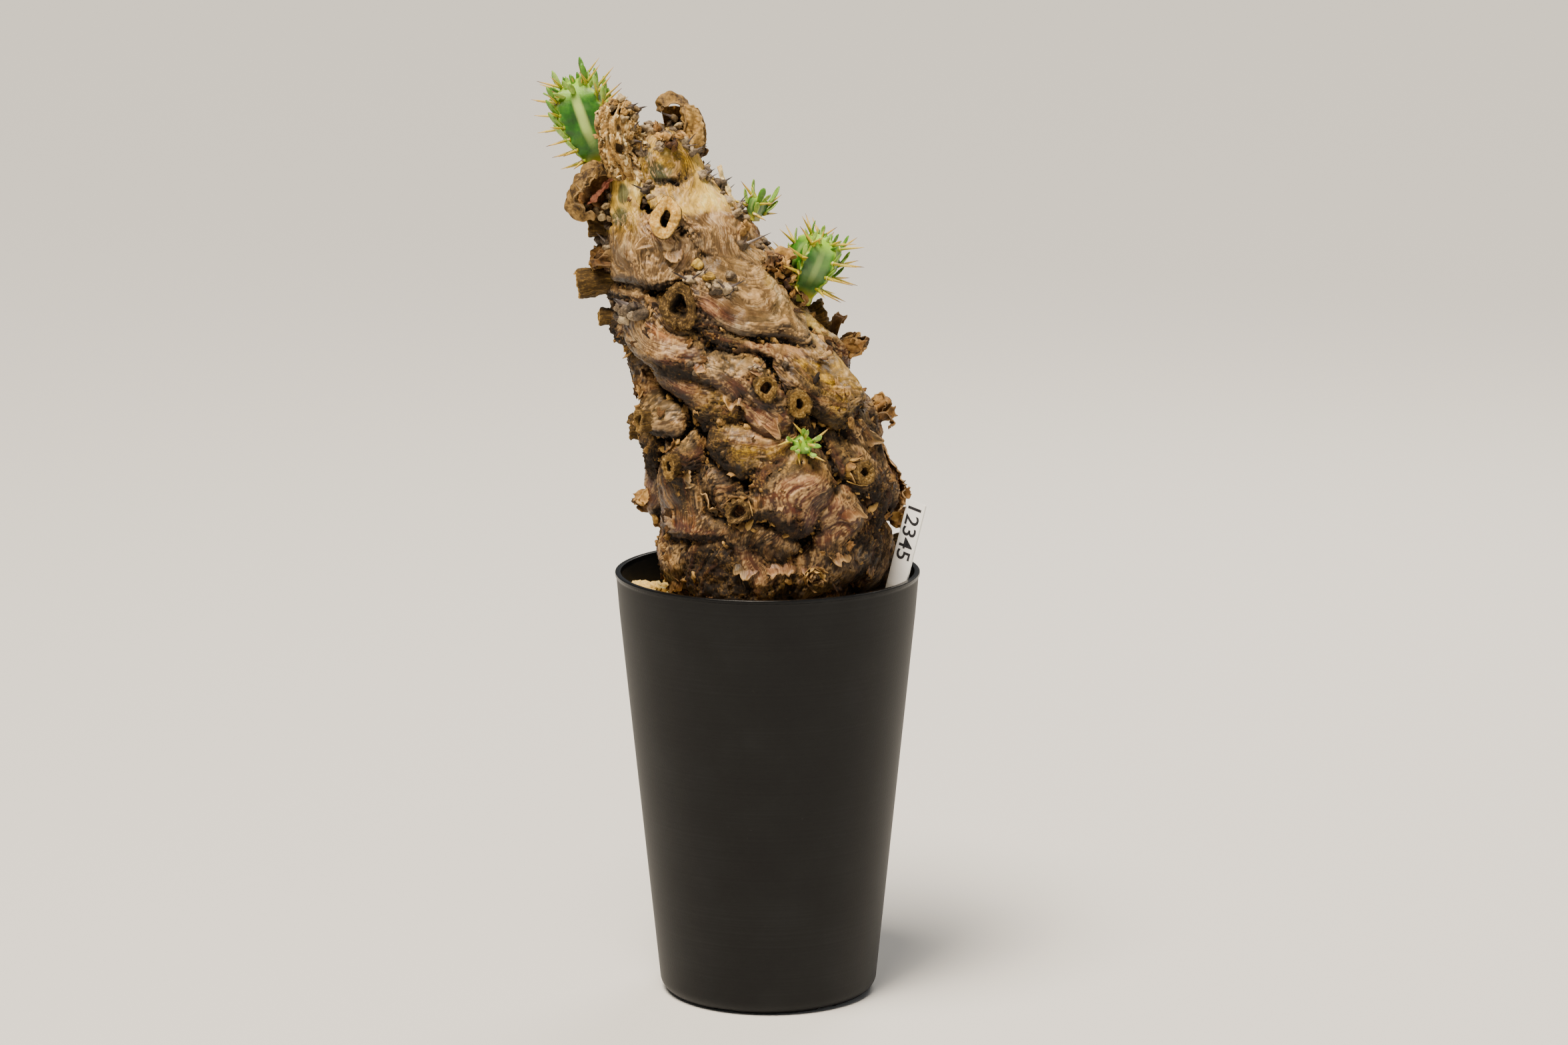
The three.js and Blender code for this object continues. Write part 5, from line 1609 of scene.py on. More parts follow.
def add_dried_sheet(heap, seed, path, widths, thickness, bow, wrinkle, sideways, hue, detail=SHEET["detail"]):
    rows, columns = detail
    middle, directions = smooth_path(path, rows)
    sideways = np.array(sideways, float)
    lift, _ = across_path(directions, sideways)
    share = np.linspace(0, 1, rows)[:, None]
    across = np.linspace(-1, 1, columns)[None]
    half = smooth_column(list(enumerate(widths)), 1, share * (len(widths) - 1)) / 2
    half = half * (1 + SHEET["ripple"] * np.sin(SHEET["ripples"] * share))
    along, apart = share * SHEET["noise length"], seed * SHEET["noise apart"]
    spot = np.stack(np.broadcast_arrays(across * half, along, apart), -1)
    edge = np.stack(np.broadcast_arrays(np.sign(across) * 3, along, apart), -1)
    half = half * (1 + SHEET["tear"] * waves(edge, 4, 12, seed) - SHEET["trim"])
    off = -bow * half * across ** 2 + wrinkle * waves(spot * (1, 0.45, 1), 4.2, 14, seed + 1)
    off = off + 0.22 * wrinkle * waves(spot, 1.9, 14, seed + 2)
    grid = middle[:, None] + sideways * (across * half)[..., None] + lift[:, None] * off[..., None]
    points, faces, number = thin_sheet(grid, thickness * (1 - SHEET["thinning"] * across ** 2))
    tip = np.maximum(np.abs(across) ** 8 + 0 * share, (share ** 14) + 0 * across)
    heap.add(points, faces, shade=(seed * 0.31) % 1, tip=tip.ravel()[number] * (hue < 1), hue=hue)


dried_look = dried_finish()
stump = bark_relief(dried_look).run(dried_stump(), "dried_stump_skin", Lumps=1.2, Knobs=0.8, Folds=1.4,
                                    Fibres=0.8, Peel=0.6, Cracks=0.9, Crumbs=1.4, Creases=0.6)
keep(stump, "dried", "dried_stump")
shred_look = litter_finish("stump_shred", (0x46300E, 0xB48C4C, 0xF2DCA4))
scatter("stump_shreds", [flake(seed) for seed in range(20, 25)], shred_look,
        all_over, "dried", stump, "dried_stump",
        Spacing=2.6, Amount=0.6, Smallest=0.4, Largest=1.0, Tilt=0.6, Sink=0.25, Seed=61)
sheet_look = husk_finish("dried_sheet", (0x36240A, 0xAC8644, 0xF4DC98))
cream_look = husk_finish("cream_sheet", (0x8A6420, 0xDCB664, 0xF8E2A8))
for name, sheets in DRIED_SHEETS.items():
    skin = Heap("shade", "tip", "hue")
    for seed, sheet in enumerate(sheets):
        add_dried_sheet(skin, seed + len(name), *sheet)
    keep(skin.mesh(name + "_skin", cream_look if name == "dried_sheath" else sheet_look), "dried", name)

# %% [markdown]
# ## Curls of bark
# Bark that came off in tatters stands out from the caudex as crumpled curls. They are the same sheets,
# smaller, each on a short path that leaves the bark, turns up or down and rolls back. A seeded draw gives
# every curl its own path.

# %% Curls of bark
# Angle, height, curls, length, width, upward tilt, how far apart they start in mm.
CURLS = [
    (97, 262, 9, 9, 5, 35, 4), (92, 236, 8, 8, 4.5, 20, 4), (164, 248, 7, 8, 5, 20, 5),
    (-90, 200, 6, 6, 4, -10, 4), (70, 299, 10, 7, 6, 30, 7), (80, 288, 8, 6, 5, 10, 6),
    (-80, 296, 6, 7, 5, 20, 4), (228, 215, 6, 7, 5, 0, 5), (-86, 228, 5, 6, 4, 10, 4),
    (205, 290, 6, 6, 5, 20, 6), (-92, 186, 5, 6, 4, 0, 6), (95, 196, 5, 6, 5, -10, 8),
    (10, 341, 9, 5, 4, 40, 5), (120, 338, 6, 6, 4, 30, 5),
]
CURL = {
    "root": 1.6, "roll": 0.55, "thickness": 0.45, "bow": 0.4, "wrinkle": 0.55, "hues": (0, 1.2),
    "detail": (18, 11), "widths": (1, 1.1, 1, 0.8, 0.5),
}


def add_curl(heap, seed, angle, height, length, width, tilt, apart):
    draw = np.random.default_rng(seed)
    height = height + draw.uniform(-apart, apart)
    angle = angle + math.degrees(draw.uniform(-apart, apart) / float(core_radius(height)))
    place = np.array(bark_place(angle, height)[0])
    side, up, out = axes_along(outward(angle + draw.uniform(-25, 25), tilt + draw.uniform(-40, 30)))
    length, turn = length * draw.uniform(0.6, 1.1), draw.uniform(-math.pi, math.pi) * 0.6
    away, sideways = turned_axes(up, side, turn)
    roll = length * CURL["roll"] * draw.choice((-1, 1)) * draw.uniform(0.4, 1)
    path = [place - out * CURL["root"], place + out * length * 0.45,
            place + out * length * 0.8 + away * roll * 0.4, place + out * length * 0.85 + away * roll,
            place + out * length * 0.6 + away * roll * 1.4]
    widths = [width * share * draw.uniform(0.7, 1.1) for share in CURL["widths"]]
    add_dried_sheet(heap, seed, path, widths, CURL["thickness"], CURL["bow"], CURL["wrinkle"], sideways,
                    draw.uniform(*CURL["hues"]), CURL["detail"])


curls = Heap("shade", "tip", "hue")
for group, (angle, height, count, *rest) in enumerate(CURLS):
    for i in range(count):
        add_curl(curls, 700 + 20 * group + i, angle, height, *rest)
keep(curls.mesh("bark_curls", husk_finish("curl_bark", (0x1C1006, 0x6C4A1C, 0xC89C58))), "bark", "caudex")

# %% [markdown]
# ## Nubs on the dried shoots
# The dead shoots still carry their shields. Their skins have no angle and height as the bark has, so each
# nub is placed by its own coordinates.

# %% Nubs on the dried shoots
for name, (facing, rows) in DRIED_NUBS.items():
    knobs, spines = Heap("shade", "cream"), []
    draw = np.random.default_rng(len(name))
    for seed, (x, y, z, radius, length) in enumerate(rows):
        place = np.array((x, y, z), float)
        aim = unit(np.array(facing) + draw.uniform(-0.4, 0.4, 3))
        add_nub(knobs, 500 + seed, place, axes_along(aim), radius, shade=(seed * GOLDEN) % 1, cream=0.15)
        if length:
            spines.append(old_spine(place, aim, radius, length))
    keep(knobs.mesh(name + "_nubs", nub_look), "dried", name)
    place_forms(name + "_spines", spine_form(), old_spine_look, spines, "dried", name)

# %% [markdown]
# ## Live shoots
# A live shoot is a fleshy stem with three to five ribs. Each rib has a horny edge with nodes. Each node
# has one or two straight spines, and nearly every one has a small fleshy leaf. The stem is a ring whose
# radius follows the ribs, swept up a short axis. The same formula says where the nodes are, so the spines
# and leaves always sit on the rib.

# %% Live shoots
# A shoot's radius is that of a rib's edge, and its turn that of the first rib. Nodes are those on one
# rib, and spines those at one node. Leaves start at the first leaf's node. Leaf and spine are lengths.
Shoot = namedtuple("Shoot", ("foot", "towards", "length", "radius", "ribs", "turn", "nodes", "spines",
                             "first_leaf", "leaf", "spine", "tip_leaves"))
LIVE_SHOOTS = {
    "shoot_crown": Shoot((-63.5, 3, 329.5), (-0.36, 0.02, 1), 34.5, 12.6, 4, 45, 7, 2, 1, 7.4, 10.7, 24),
    "shoot_shoulder": Shoot((13.3, -2, 280), (0.42, -0.1, 1), 24, 10.2, 5, 20, 4, 2, 1, 5.2, 11, 15),
    "shoot_upper": Shoot((-5, -1, 309.3), (0.3, -0.1, 1), 8.5, 4.8, 3, 30, 2, 1, 0, 6.5, 9.5, 4),
    "shoot_front": Shoot((13.5, -41, 226.5), (0.08, -1, 0.35), 6.5, 4.4, 5, 18, 1, 1, 0, 5.2, 8, 6),
}
STRIPED = {"shoot_crown": 1}  # how clear the stripe on a shoot is, where it isn't faint
FAINT_STRIPE = 0.3
# The share of the stem's length, and the share of its radius there.
GIRTH = [(0, 0.6), (0.18, 0.76), (0.45, 1), (0.75, 0.97), (0.92, 0.68), (1, 0.3)]
STEM = {
    "columns per rib": 26, "rows per mm": 2.2, "fewest rows": 26, "root": -0.12, "tooth": 0.07,
    "rib sharpness": 3, "dent": 0.015, "edge dent": 0.12, "girth": 9,
}
NODE = {
    "height": 0.55, "offset": 0.28, "highest": 0.97, "lift": 0.15, "top lift": 1.1, "spine radius": 0.76,
    "spine spread": 0.55, "spine drop": 0.22, "spine sway": 0.08, "spine lengths": (0.85, 1.0),
    "leaf above": 1.1, "leaf in": 0.6, "leaf lift": 0.55, "leaf sway": 0.1, "leaf lengths": (0.85, 1.08),
    "pad": 1.15, "pad sizes": (0.7, 1.0), "tip pad": 0.6, "tip spine": 0.7,
}


def stem_radius(shoot, around, share):
    """The ribbed stem's radius, and how near each point is to a rib's edge, from 0 to 1."""
    half = math.pi / shoot.ribs
    to_corner = np.abs((around + half) % (2 * half) - half)
    flat = math.cos(half) / np.cos(half - to_corner)
    corner = (flat - math.cos(half)) / (1 - math.cos(half))
    wave = np.cos(2 * math.pi * (share * shoot.nodes - 0.5))
    tooth = STEM["tooth"] * corner ** STEM["rib sharpness"] * wave
    return shoot.radius * smooth_column(GIRTH, 1, share) * (flat + tooth), corner


def shoot_frame(shoot):
    """The shoot's foot and the directions that its ribs are counted from."""
    side, up, out = axes_along(shoot.towards)
    first, second = turned_axes(side, up, math.radians(shoot.turn))
    return np.array(shoot.foot, float), first, second, out


def add_stem(heap, shoot, seed, striped):
    foot, first, second, out = shoot_frame(shoot)
    rows = max(STEM["fewest rows"], int(shoot.length * STEM["rows per mm"]))
    columns = turns(shoot.ribs * STEM["columns per rib"])
    share, around = np.meshgrid(np.linspace(STEM["root"], 1, rows), columns, indexing="ij")
    radius, corner = stem_radius(shoot, around, np.clip(share, 0, 1))
    along = share * shoot.length
    spot = np.stack([np.cos(around) * STEM["girth"], np.sin(around) * STEM["girth"], along], -1)
    radius = radius * (1 + STEM["dent"] * waves(spot, 9, 10, seed))
    radius = radius + STEM["edge dent"] * waves(spot, 2.4, 10, seed + 1) * corner ** 2
    rings = foot + first * (radius * np.cos(around))[..., None]
    rings = rings + second * (radius * np.sin(around))[..., None] + out * along[..., None]
    points, faces = closed_tube(rings)
    heap.add(points, faces, share=with_ends(share), corner=with_ends(corner), striped=striped)


def nodes_of(shoot):
    """Each node: its place, directions out, aside and up, and its number from the foot."""
    foot, first, second, out = shoot_frame(shoot)
    for rib in range(shoot.ribs):
        angle = 2 * math.pi * rib / shoot.ribs
        radial, side = turned_axes(first, second, angle)
        for node in range(shoot.nodes):
            share = min(NODE["highest"], (node + NODE["height"] + NODE["offset"] * (rib % 2)) / shoot.nodes)
            radius, _ = stem_radius(shoot, np.array(angle), np.array(share))
            away = unit(radial + out * (NODE["lift"] + NODE["top lift"] * share ** 2))
            yield foot + radial * float(radius) + out * share * shoot.length, away, side, out, node


TIP = {"turn": 137.5, "spread": 0.5, "sink": 0.05, "smallest": 0.4, "closed": 1.4}


def tip_of(shoot, count):
    """Places round the growing tip, a golden angle apart, with directions that close over the tip."""
    foot, first, second, out = shoot_frame(shoot)
    for i in range(count):
        share = math.sqrt((i + 0.5) / count)
        radial, side = turned_axes(first, second, math.radians(i * TIP["turn"]))
        aim = unit(radial * share + out * TIP["closed"] * (1.15 - share))
        place = foot + out * shoot.length * (1 - TIP["sink"] * (0.4 + 2.4 * share))
        place = place + radial * (shoot.radius * TIP["spread"]) * share
        yield place, aim, side, TIP["smallest"] + (1 - TIP["smallest"]) * share


def leaf_form(rows=8, columns=7):
    """A fleshy leaf of length 1 along Z: widest past its middle, folded along its keel, round at its tip."""
    share, across = np.meshgrid(np.linspace(0, 1, rows), np.linspace(-1, 1, columns), indexing="ij")
    outline = [(0, 0.11), (0.25, 0.14), (0.6, 0.18), (0.85, 0.13), (1, 0.03)]
    half = smooth_column(outline, 1, share)
    grid = np.stack([across * half, 0.3 * share ** 2 + 0.3 * half * across ** 2 - 0.08, share], -1)
    points, faces, number = thin_sheet(grid, 0.19 * (1 - 0.6 * across ** 2) * (1 - 0.5 * share))
    return (points, faces), share.ravel()[number]


print("nodes:", {name: len(list(nodes_of(shoot))) for name, shoot in LIVE_SHOOTS.items()})

# %% [markdown]
# ## Living green
# Living skin is smooth and waxy, and lets a little light in. Each face has a pale stripe, and each rib a
# horny tan edge. The stem's formula already knows how near a point is to a rib's edge, so the finish
# reads that.

# %% Green finishes
def stem_finish():
    """Green skin with a frosted bloom, a pale stripe down the middle of each face, and a tan horny edge."""
    green = Finish("green_skin", Roughness=0.42, Specular_IOR_Level=0.5, Subsurface_Weight=0.05,
                   Subsurface_Scale=0.003)
    place, share, corner = green.place(), green.attribute("share"), green.attribute("corner")
    broad, grain = green.noise(place, 9.0, 2), green.noise(place, 1.1, 3)
    skin = shaded(green, broad * 0.75 + grain * 0.25, (0x103402, 0x205C04, 0x4A880C), 0.3, 0.7)
    bloom = green.noise(place, 14.0, 2).step(0.5, 0.66) * corner.step(0.75, 0.3)
    skin = green.mix(skin, 0x6C8E54, bloom * 0.5)
    stripe = (corner + (grain - 0.5) * 0.01).step(0.0, 0.09, 1, 0)
    stripe = stripe * share.step(0.15, 0.45) * share.step(0.92, 0.72)
    skin = green.mix(skin, 0xC6E078, stripe * green.attribute("striped") * 0.68)
    skin = green.mix(skin, 0x98C814, share.step(0.75, 1.0) * 0.8)
    skin = green.mix(skin, 0xA8A428, share.step(0.2, 0.0) * 0.8)
    rim = corner + (grain - 0.5) * 0.12
    skin = green.mix(skin, 0x9CC23C, rim.step(0.72, 0.9) * 0.7)
    skin = green.mix(skin, 0x9A6A2A, rim.step(0.93, 0.985) * (share.step(0.95, 0.75)) * 0.85)
    green.set(Base_Color=skin, Roughness=broad * 0.25 + 0.32)
    green.bump(grain, 0.12)
    return green.material


def leaf_finish():
    leaf = Finish("green_leaf", Roughness=0.45, Specular_IOR_Level=0.45, Subsurface_Weight=0.15,
                  Subsurface_Scale=0.002)
    tip, grain = leaf.attribute("tip"), leaf.noise(leaf.place(), 1.4, 3)
    mixed = grain * 0.5 + leaf.attribute("shade") * 0.5
    body = shaded(leaf, mixed, (0x2E6810, 0x649228, 0xA0C258), 0.25, 0.75)
    leaf.set(Base_Color=leaf.mix(body, 0x4E8A12, tip.step(0.5, 1.0) * 0.5))
    leaf.bump(grain, 0.1)
    return leaf.material


def pad_finish():
    """The horny pads that carry the spines."""
    pad = Finish("horny_pad", Roughness=0.6, Specular_IOR_Level=0.4)
    grain = pad.noise(pad.place(), 0.8, 3, 0.6)
    mixed = grain * 0.6 + pad.attribute("shade") * 0.4
    pad.set(Base_Color=shaded(pad, mixed, (0x5A4328, 0xA98F55, 0xD9C98C)))
    pad.bump(grain, 0.2)
    return pad.material


print("green finishes: stem, leaf and horny pad")

# %% [markdown]
# ## Four shoots
# All four shoots grow from the same functions, and only their values in the tables differ. Every shoot
# draws from a seed of its own, so a change to one leaves the others alone.

# %% Grow the live shoots
green_look, leaf_look, pad_look = stem_finish(), leaf_finish(), pad_finish()
live_spine_look = spine_finish("live_spine", (0x8A9A18, 0xC4AE28, 0xCCA642, 0x5A2E0C))


def live_spine(place, aim, side, length):
    """The row of a spine on a live shoot."""
    return place, aim, side, (NODE["spine radius"], NODE["spine radius"], length)


def grow_on_nodes(shoot, draw, pads, spines, leaves):
    """Gives every node its pad, its spines and, from the first leaf's node on, its leaf."""
    for place, away, side, up, node in nodes_of(shoot):
        axes = (side, np.cross(away, side), away)
        add_nub(pads, node, place, axes, NODE["pad"] * draw.uniform(*NODE["pad sizes"]), shade=draw.random())
        for i in range(shoot.spines):
            aim = away + side * (1 - 2 * i) * NODE["spine spread"] - np.array((0, 0, NODE["spine drop"]))
            aim = unit(aim + draw.uniform(-NODE["spine sway"], NODE["spine sway"], 3))
            spines.append(live_spine(place, aim, side, shoot.spine * draw.uniform(*NODE["spine lengths"])))
        if node >= shoot.first_leaf:
            aim = unit(away + up * NODE["leaf lift"] + draw.uniform(-NODE["leaf sway"], NODE["leaf sway"], 3))
            start = place + up * NODE["leaf above"] - away * NODE["leaf in"]
            leaves.append((start, aim, side, (shoot.leaf * draw.uniform(*NODE["leaf lengths"]),) * 3))


def grow_on_tip(shoot, draw, pads, spines, leaves):
    """Crowds the growing tip with small leaves, and every second one has a pad and a spine."""
    for i, (place, aim, side, share) in enumerate(tip_of(shoot, shoot.tip_leaves)):
        leaves.append((place, aim, side, (shoot.leaf * share,) * 3))
        if i % 2:
            axes = (side, np.cross(aim, side), aim)
            add_nub(pads, 50 + i, place, axes, NODE["pad"] * NODE["tip pad"], shade=draw.random())
            spines.append(live_spine(place, aim, side, shoot.spine * share * NODE["tip spine"]))


for number, (name, shoot) in enumerate(LIVE_SHOOTS.items()):
    stem, pads = Heap("share", "corner", "striped"), Heap("shade")
    add_stem(stem, shoot, 71 + number, STRIPED.get(name, FAINT_STRIPE))
    keep(stem.mesh(name + "_stem", green_look), "green", name)
    draw, spines, leaves = np.random.default_rng(81 + number), [], []
    grow_on_nodes(shoot, draw, pads, spines, leaves)
    grow_on_tip(shoot, draw, pads, spines, leaves)
    keep(pads.mesh(name + "_pads", pad_look), "green", name)
    place_forms(name + "_spines", spine_form(), live_spine_look, spines, "green", name)
    place_forms(name + "_leaves", leaf_form(), leaf_look, leaves, "green", name)

# %% [markdown]
# ## Pot
# The pot is injection-moulded plastic: a body of revolution with a straight taper, a small bead at its
# rim and a rounded foot, with drain holes and channels cut in its floor. We turn the same section as the
# CAD model's, much finer, and cut the drains with a Boolean modifier, as they are cut from the solid.

# %% Pot
POT = {
    "height": 170, "rim": 60, "base": 42.7, "wall": 2.2, "floor": 3, "rounding": 6, "inside corner": 4,
    "bead": 1.6, "bead proud": 0.3, "lip": 0.4, "columns": 160,
}
DRAIN = {"count": 6, "turn": 5, "hole": 4, "ring": 26, "channel width": 9, "channel depth": 1.6}


def pot_radius(height):
    return POT["base"] + (POT["rim"] - POT["base"]) * height / POT["height"]


def inside_radius(height):
    return pot_radius(height) - POT["wall"]


def turned_body(name, section, columns, material=None):
    """A closed body of revolution from its section, given from the axis round the outside to the axis."""
    points, faces = closed_tube(turned_rings(section[1:-1], columns))
    return mesh_object(name, points, faces, material)


def cut_away(body, cutters):
    """Cuts cutters out of a body and removes them."""
    for cutter in cutters:
        cut = body.modifiers.new("cut", "BOOLEAN")
        cut.operation, cut.solver, cut.object = "DIFFERENCE", "EXACT", cutter
    depsgraph = bpy.context.evaluated_depsgraph_get()
    mesh = bpy.data.meshes.new_from_object(body.evaluated_get(depsgraph), depsgraph=depsgraph)
    body.modifiers.clear()
    body.data = mesh
    for cutter in cutters:
        bpy.data.objects.remove(cutter)
    return body


def pot_section():
    """The section's radii and heights: under the floor, up the outside, over the rim and down the inside."""
    height, lip, rim, bead, proud = POT["height"], POT["lip"], POT["rim"], POT["bead"], POT["bead proud"]
    rounding, corner, floor = POT["rounding"], POT["inside corner"], POT["floor"]
    bend = np.linspace(0, math.pi / 2, 9)
    foot = [(pot_radius(rounding) - rounding * (1 - math.sin(a)), rounding * (1 - math.cos(a)))
            for a in bend]
    walls = [(pot_radius(h), h) for h in np.linspace(rounding, height - bead, 12)[1:-1]]
    edge = [(rim - lip + lip * math.cos(a), height - lip + lip * math.sin(a)) for a in bend[::2]]
    inner = inside_radius(height) + lip
    inner_edge = [(inner - lip * math.sin(a), height - lip + lip * math.cos(a)) for a in bend[::2]]
    low = inside_radius(floor + corner)
    inner_foot = [(low - corner * (1 - math.cos(a)), floor + corner * (1 - math.sin(a))) for a in bend[::2]]
    return [(0, 0), (20, 0), *foot, *walls, (pot_radius(height - bead) - proud, height - bead),
            (rim, height - bead + proud), *edge, *inner_edge, *inner_foot, (20, floor), (0, floor)]


def drain_cutters():
    cutters = []
    reach = pot_radius(0) + 4 - DRAIN["ring"]
    for i in range(DRAIN["count"]):
        turn = Matrix.Rotation(math.radians(DRAIN["turn"] + 360 * i / DRAIN["count"]), 4, "Z")
        hole = turned_body(f"hole_{i}", [(0, -1), (DRAIN["hole"], -1), (DRAIN["hole"], 4), (0, 4)], 24)
        hole.data.transform(turn @ Matrix.Translation((DRAIN["ring"] * MM, 0, 0)))
        half, depth = DRAIN["channel width"] / 2, DRAIN["channel depth"]
        outline = np.array([(0, -half), (reach, -half), (reach, half), (0, half)])
        rings = np.stack([np.column_stack([outline, np.full(4, z)]) for z in (-depth, depth)])
        channel = mesh_object(f"channel_{i}", *closed_tube(rings))
        channel.data.transform(turn @ Matrix.Translation((DRAIN["ring"] * MM, 0, 0)))
        cutters += [hole, channel]
    return cutters


def pot_finish():
    """Matt black plastic: a faint moulded grain, turning rings down the wall, dust, and a glossier rim."""
    plastic = Finish("pot_plastic", Specular_IOR_Level=0.2)
    place = plastic.place()
    height = plastic.add("ShaderNodeSeparateXYZ", None, {"Vector": place}, "Z")
    grain, cloud = plastic.noise(place, 0.7, 3), plastic.noise(place, 26, 3)
    rings = plastic.noise(place.scaled(0.001, 0.001, 1), 1.1, 3)
    look = shaded(plastic, cloud * 0.6 + rings * 0.4, (0x050506, 0x090A0B, 0x101112))
    dust = plastic.noise(place, 3.2, 4, 0.7).step(0.66, 0.8) * 0.2
    rim = POT["height"] - POT["bead"]
    glossier = height.step(rim - 1, rim, 0.52, 0.26)
    plastic.set(Base_Color=plastic.mix(look, 0x6A655C, dust * 0.35), Roughness=glossier)
    plastic.bump(grain * 0.7 + rings * 0.3, 0.06)
    return plastic.material


pot = cut_away(turned_body("pot_shell", pot_section(), POT["columns"]), drain_cutters())
pot.data.materials.clear()
pot.data.materials.append(pot_finish())
for polygon in pot.data.polygons:
    polygon.use_smooth = True
pot.data.set_sharp_from_angle(angle=math.radians(35))
keep(pot, "pot", "pot")

# %% [markdown]
# ## Gravel
# The pot is filled with pumice to a little below its rim. The bed is one body that fits between the pot
# and the buried foot of the caudex. Loose stones are scattered over its top by the rule that scattered
# the crumbs, and four bigger stones stand out where the photograph shows them.

# %% Gravel
SOIL = {"top": 157, "gap": 0.35, "columns": 144, "buried": (150, 140, 130, 122, 118), "rings": 14}
STANDING_STONES = [(-47.2, -8, 5.2), (-49.8, 2, 4.2), (-45.5, -18, 4.2), (24, -46, 2.6)]  # x, y, radius
STANDING_SHARE = 0.8  # of a stone's radius, from the gravel up to its middle


def ring_in_pot(radius, height):
    """A ring about the pot's axis, with a point at each of the gravel's columns."""
    a = np.radians(np.arange(SOIL["columns"]) * 360 / SOIL["columns"])
    return np.stack([radius * np.sin(a), -radius * np.cos(a), 0 * a + height], -1)


def ring_round_caudex(height, gap):
    """A ring round the caudex, with a gap between them."""
    angles = np.arange(SOIL["columns"]) * 360 / SOIL["columns"]
    heights = np.full_like(angles, height)
    return on_bark(angles, heights, bark_field(angles, heights)["stand"] + gap)


def gravel_bed(material):
    """A ring-shaped body: up the pot's wall, over the top, and down the caudex's buried foot."""
    gap, top = SOIL["gap"], SOIL["top"]
    low, corner = POT["floor"] + gap, POT["inside corner"] + gap
    rings = [ring_in_pot(20, low), ring_in_pot(inside_radius(low) - gap - corner, low)]
    rings += [ring_in_pot(inside_radius(height) - gap, height) for height in (low + corner, 100, top)]
    edge, outer = ring_round_caudex(top + 1.0, gap), rings[-1]
    edge[:, 2] = top
    for share in np.linspace(0, 1, SOIL["rings"])[1:]:
        ring = outer + (edge - outer) * share
        ring[:, 2] = top + 0.8 * waves(ring, 6, 12, 5) * (1 - abs(2 * share - 1) ** 4) - 0.2
        rings.append(ring)
    rings += [ring_round_caudex(height, gap) for height in SOIL["buried"]]
    rings[-1][:, 2] -= gap
    points, faces = closed_tube(np.stack(rings))
    return mesh_object("gravel_bed", points, faces, material)


def stone_finish():
    """Porous pumice, cream to tan, with a few greyer and browner grains."""
    stone = Finish("pumice", Roughness=0.95, Specular_IOR_Level=0.2)
    place = stone.place()
    grain, pores = stone.noise(place, 1.1, 4, 0.65), stone.cells(place, 0.8)
    own = stone.attribute("shade")
    look = shaded(stone, grain * 0.5 + own * 0.5, (0x8A6420, 0xD2B060, 0xF8E8A8), 0.25, 0.72)
    look = stone.mix(look, 0x6A5A4A, own.step(0.82, 0.9) * 0.6)
    stone.set(Base_Color=stone.mix(look, 0x5A4628, pores.step(0.28, 0.1) * 0.5))
    stone.bump(grain * 0.6 + pores * 0.4, 0.4)
    return stone.material


def bed_finish():
    bed = Finish("gravel_fines", Roughness=0.95, Specular_IOR_Level=0.2)
    grains, grain = bed.cells(bed.place(), 2.2), bed.noise(bed.place(), 1.0, 4, 0.65)
    bed.set(Base_Color=shaded(bed, grains * 0.6 + grain * 0.4, (0x3A2C1C, 0x8A7450, 0xC0AC80), 0.2, 0.7))
    bed.bump(grains, 0.6)
    return bed.material


def gravel_ring():
    """The surface that loose stones are scattered on."""
    outer = ring_in_pot(inside_radius(SOIL["top"]) - 2.6, SOIL["top"])
    edge = ring_round_caudex(SOIL["top"] + 1.0, 1.6)
    edge[:, 2] = SOIL["top"]
    points = np.concatenate([outer, edge])
    attributes = {"above": np.ones(len(points))}
    return mesh_object("gravel_ring", points, [grid_faces(2, SOIL["columns"])], None, attributes)


stone_look = stone_finish()
keep(gravel_bed(bed_finish()), "gravel", "gravel")
ring = gravel_ring()
stones = [lump(seed, (1, 0.9, 0.75), 0.16, 5, 8) for seed in range(60, 66)]
scatter("gravel_stones", stones, stone_look, all_over, "gravel", ring, "gravel",
        Spacing=3.0, Amount=1.0, Smallest=1.1, Largest=2.5, Tilt=1.5, Sink=-0.5, Seed=51)
bpy.data.objects.remove(ring)
big = Heap("shade")
for seed, (x, y, radius) in enumerate(STANDING_STONES):
    shape = ball(22, 30)
    bulges, dents = waves(shape * radius, 3.4, 12, seed), waves(shape * radius, 1.1, 12, seed + 9)
    size = radius * (1 + 0.14 * bulges + 0.04 * dents)
    middle = (x, y, SOIL["top"] + 1 + radius * STANDING_SHARE)
    points, faces = closed_tube(shape * size[..., None] * (1, 0.9, 0.85) + middle)
    big.add(points, faces, shade=0.45 + 0.08 * seed)
keep(big.mesh("gravel_big_stones", stone_look), "gravel", "gravel")

# %% [markdown]
# ## Plant label
# The label is a strip of white plastic, pushed in at a slant. The number on the real one isn't copied,
# and a plain one stands in its place. The strip is an outline with rounded corners, extruded, and carries
# a thin paper sticker. Text becomes a mesh first and is then laid on the sticker, a hair above its face.

# %% Label
LABEL = {
    "width": 9.2, "thickness": 0.8, "length": 64, "top": (58.4, -15, 199.8), "lean": 13.8, "turn": 41,
    "corner": 0.7, "digits": "12345", "digit height": 9.4, "from top": 2.4, "stroke": 0.09, "ink": 0.03,
    "sticker": (8.8, 34.5, 0.07),
}


def label_axes():
    lean, turn = math.radians(LABEL["lean"]), math.radians(LABEL["turn"])
    along = np.array((math.sin(lean), 0, math.cos(lean)))
    wide = np.array((math.cos(lean) * math.cos(turn), -math.sin(turn), -math.sin(lean) * math.cos(turn)))
    return np.array(LABEL["top"], float), wide, np.cross(along, wide), along


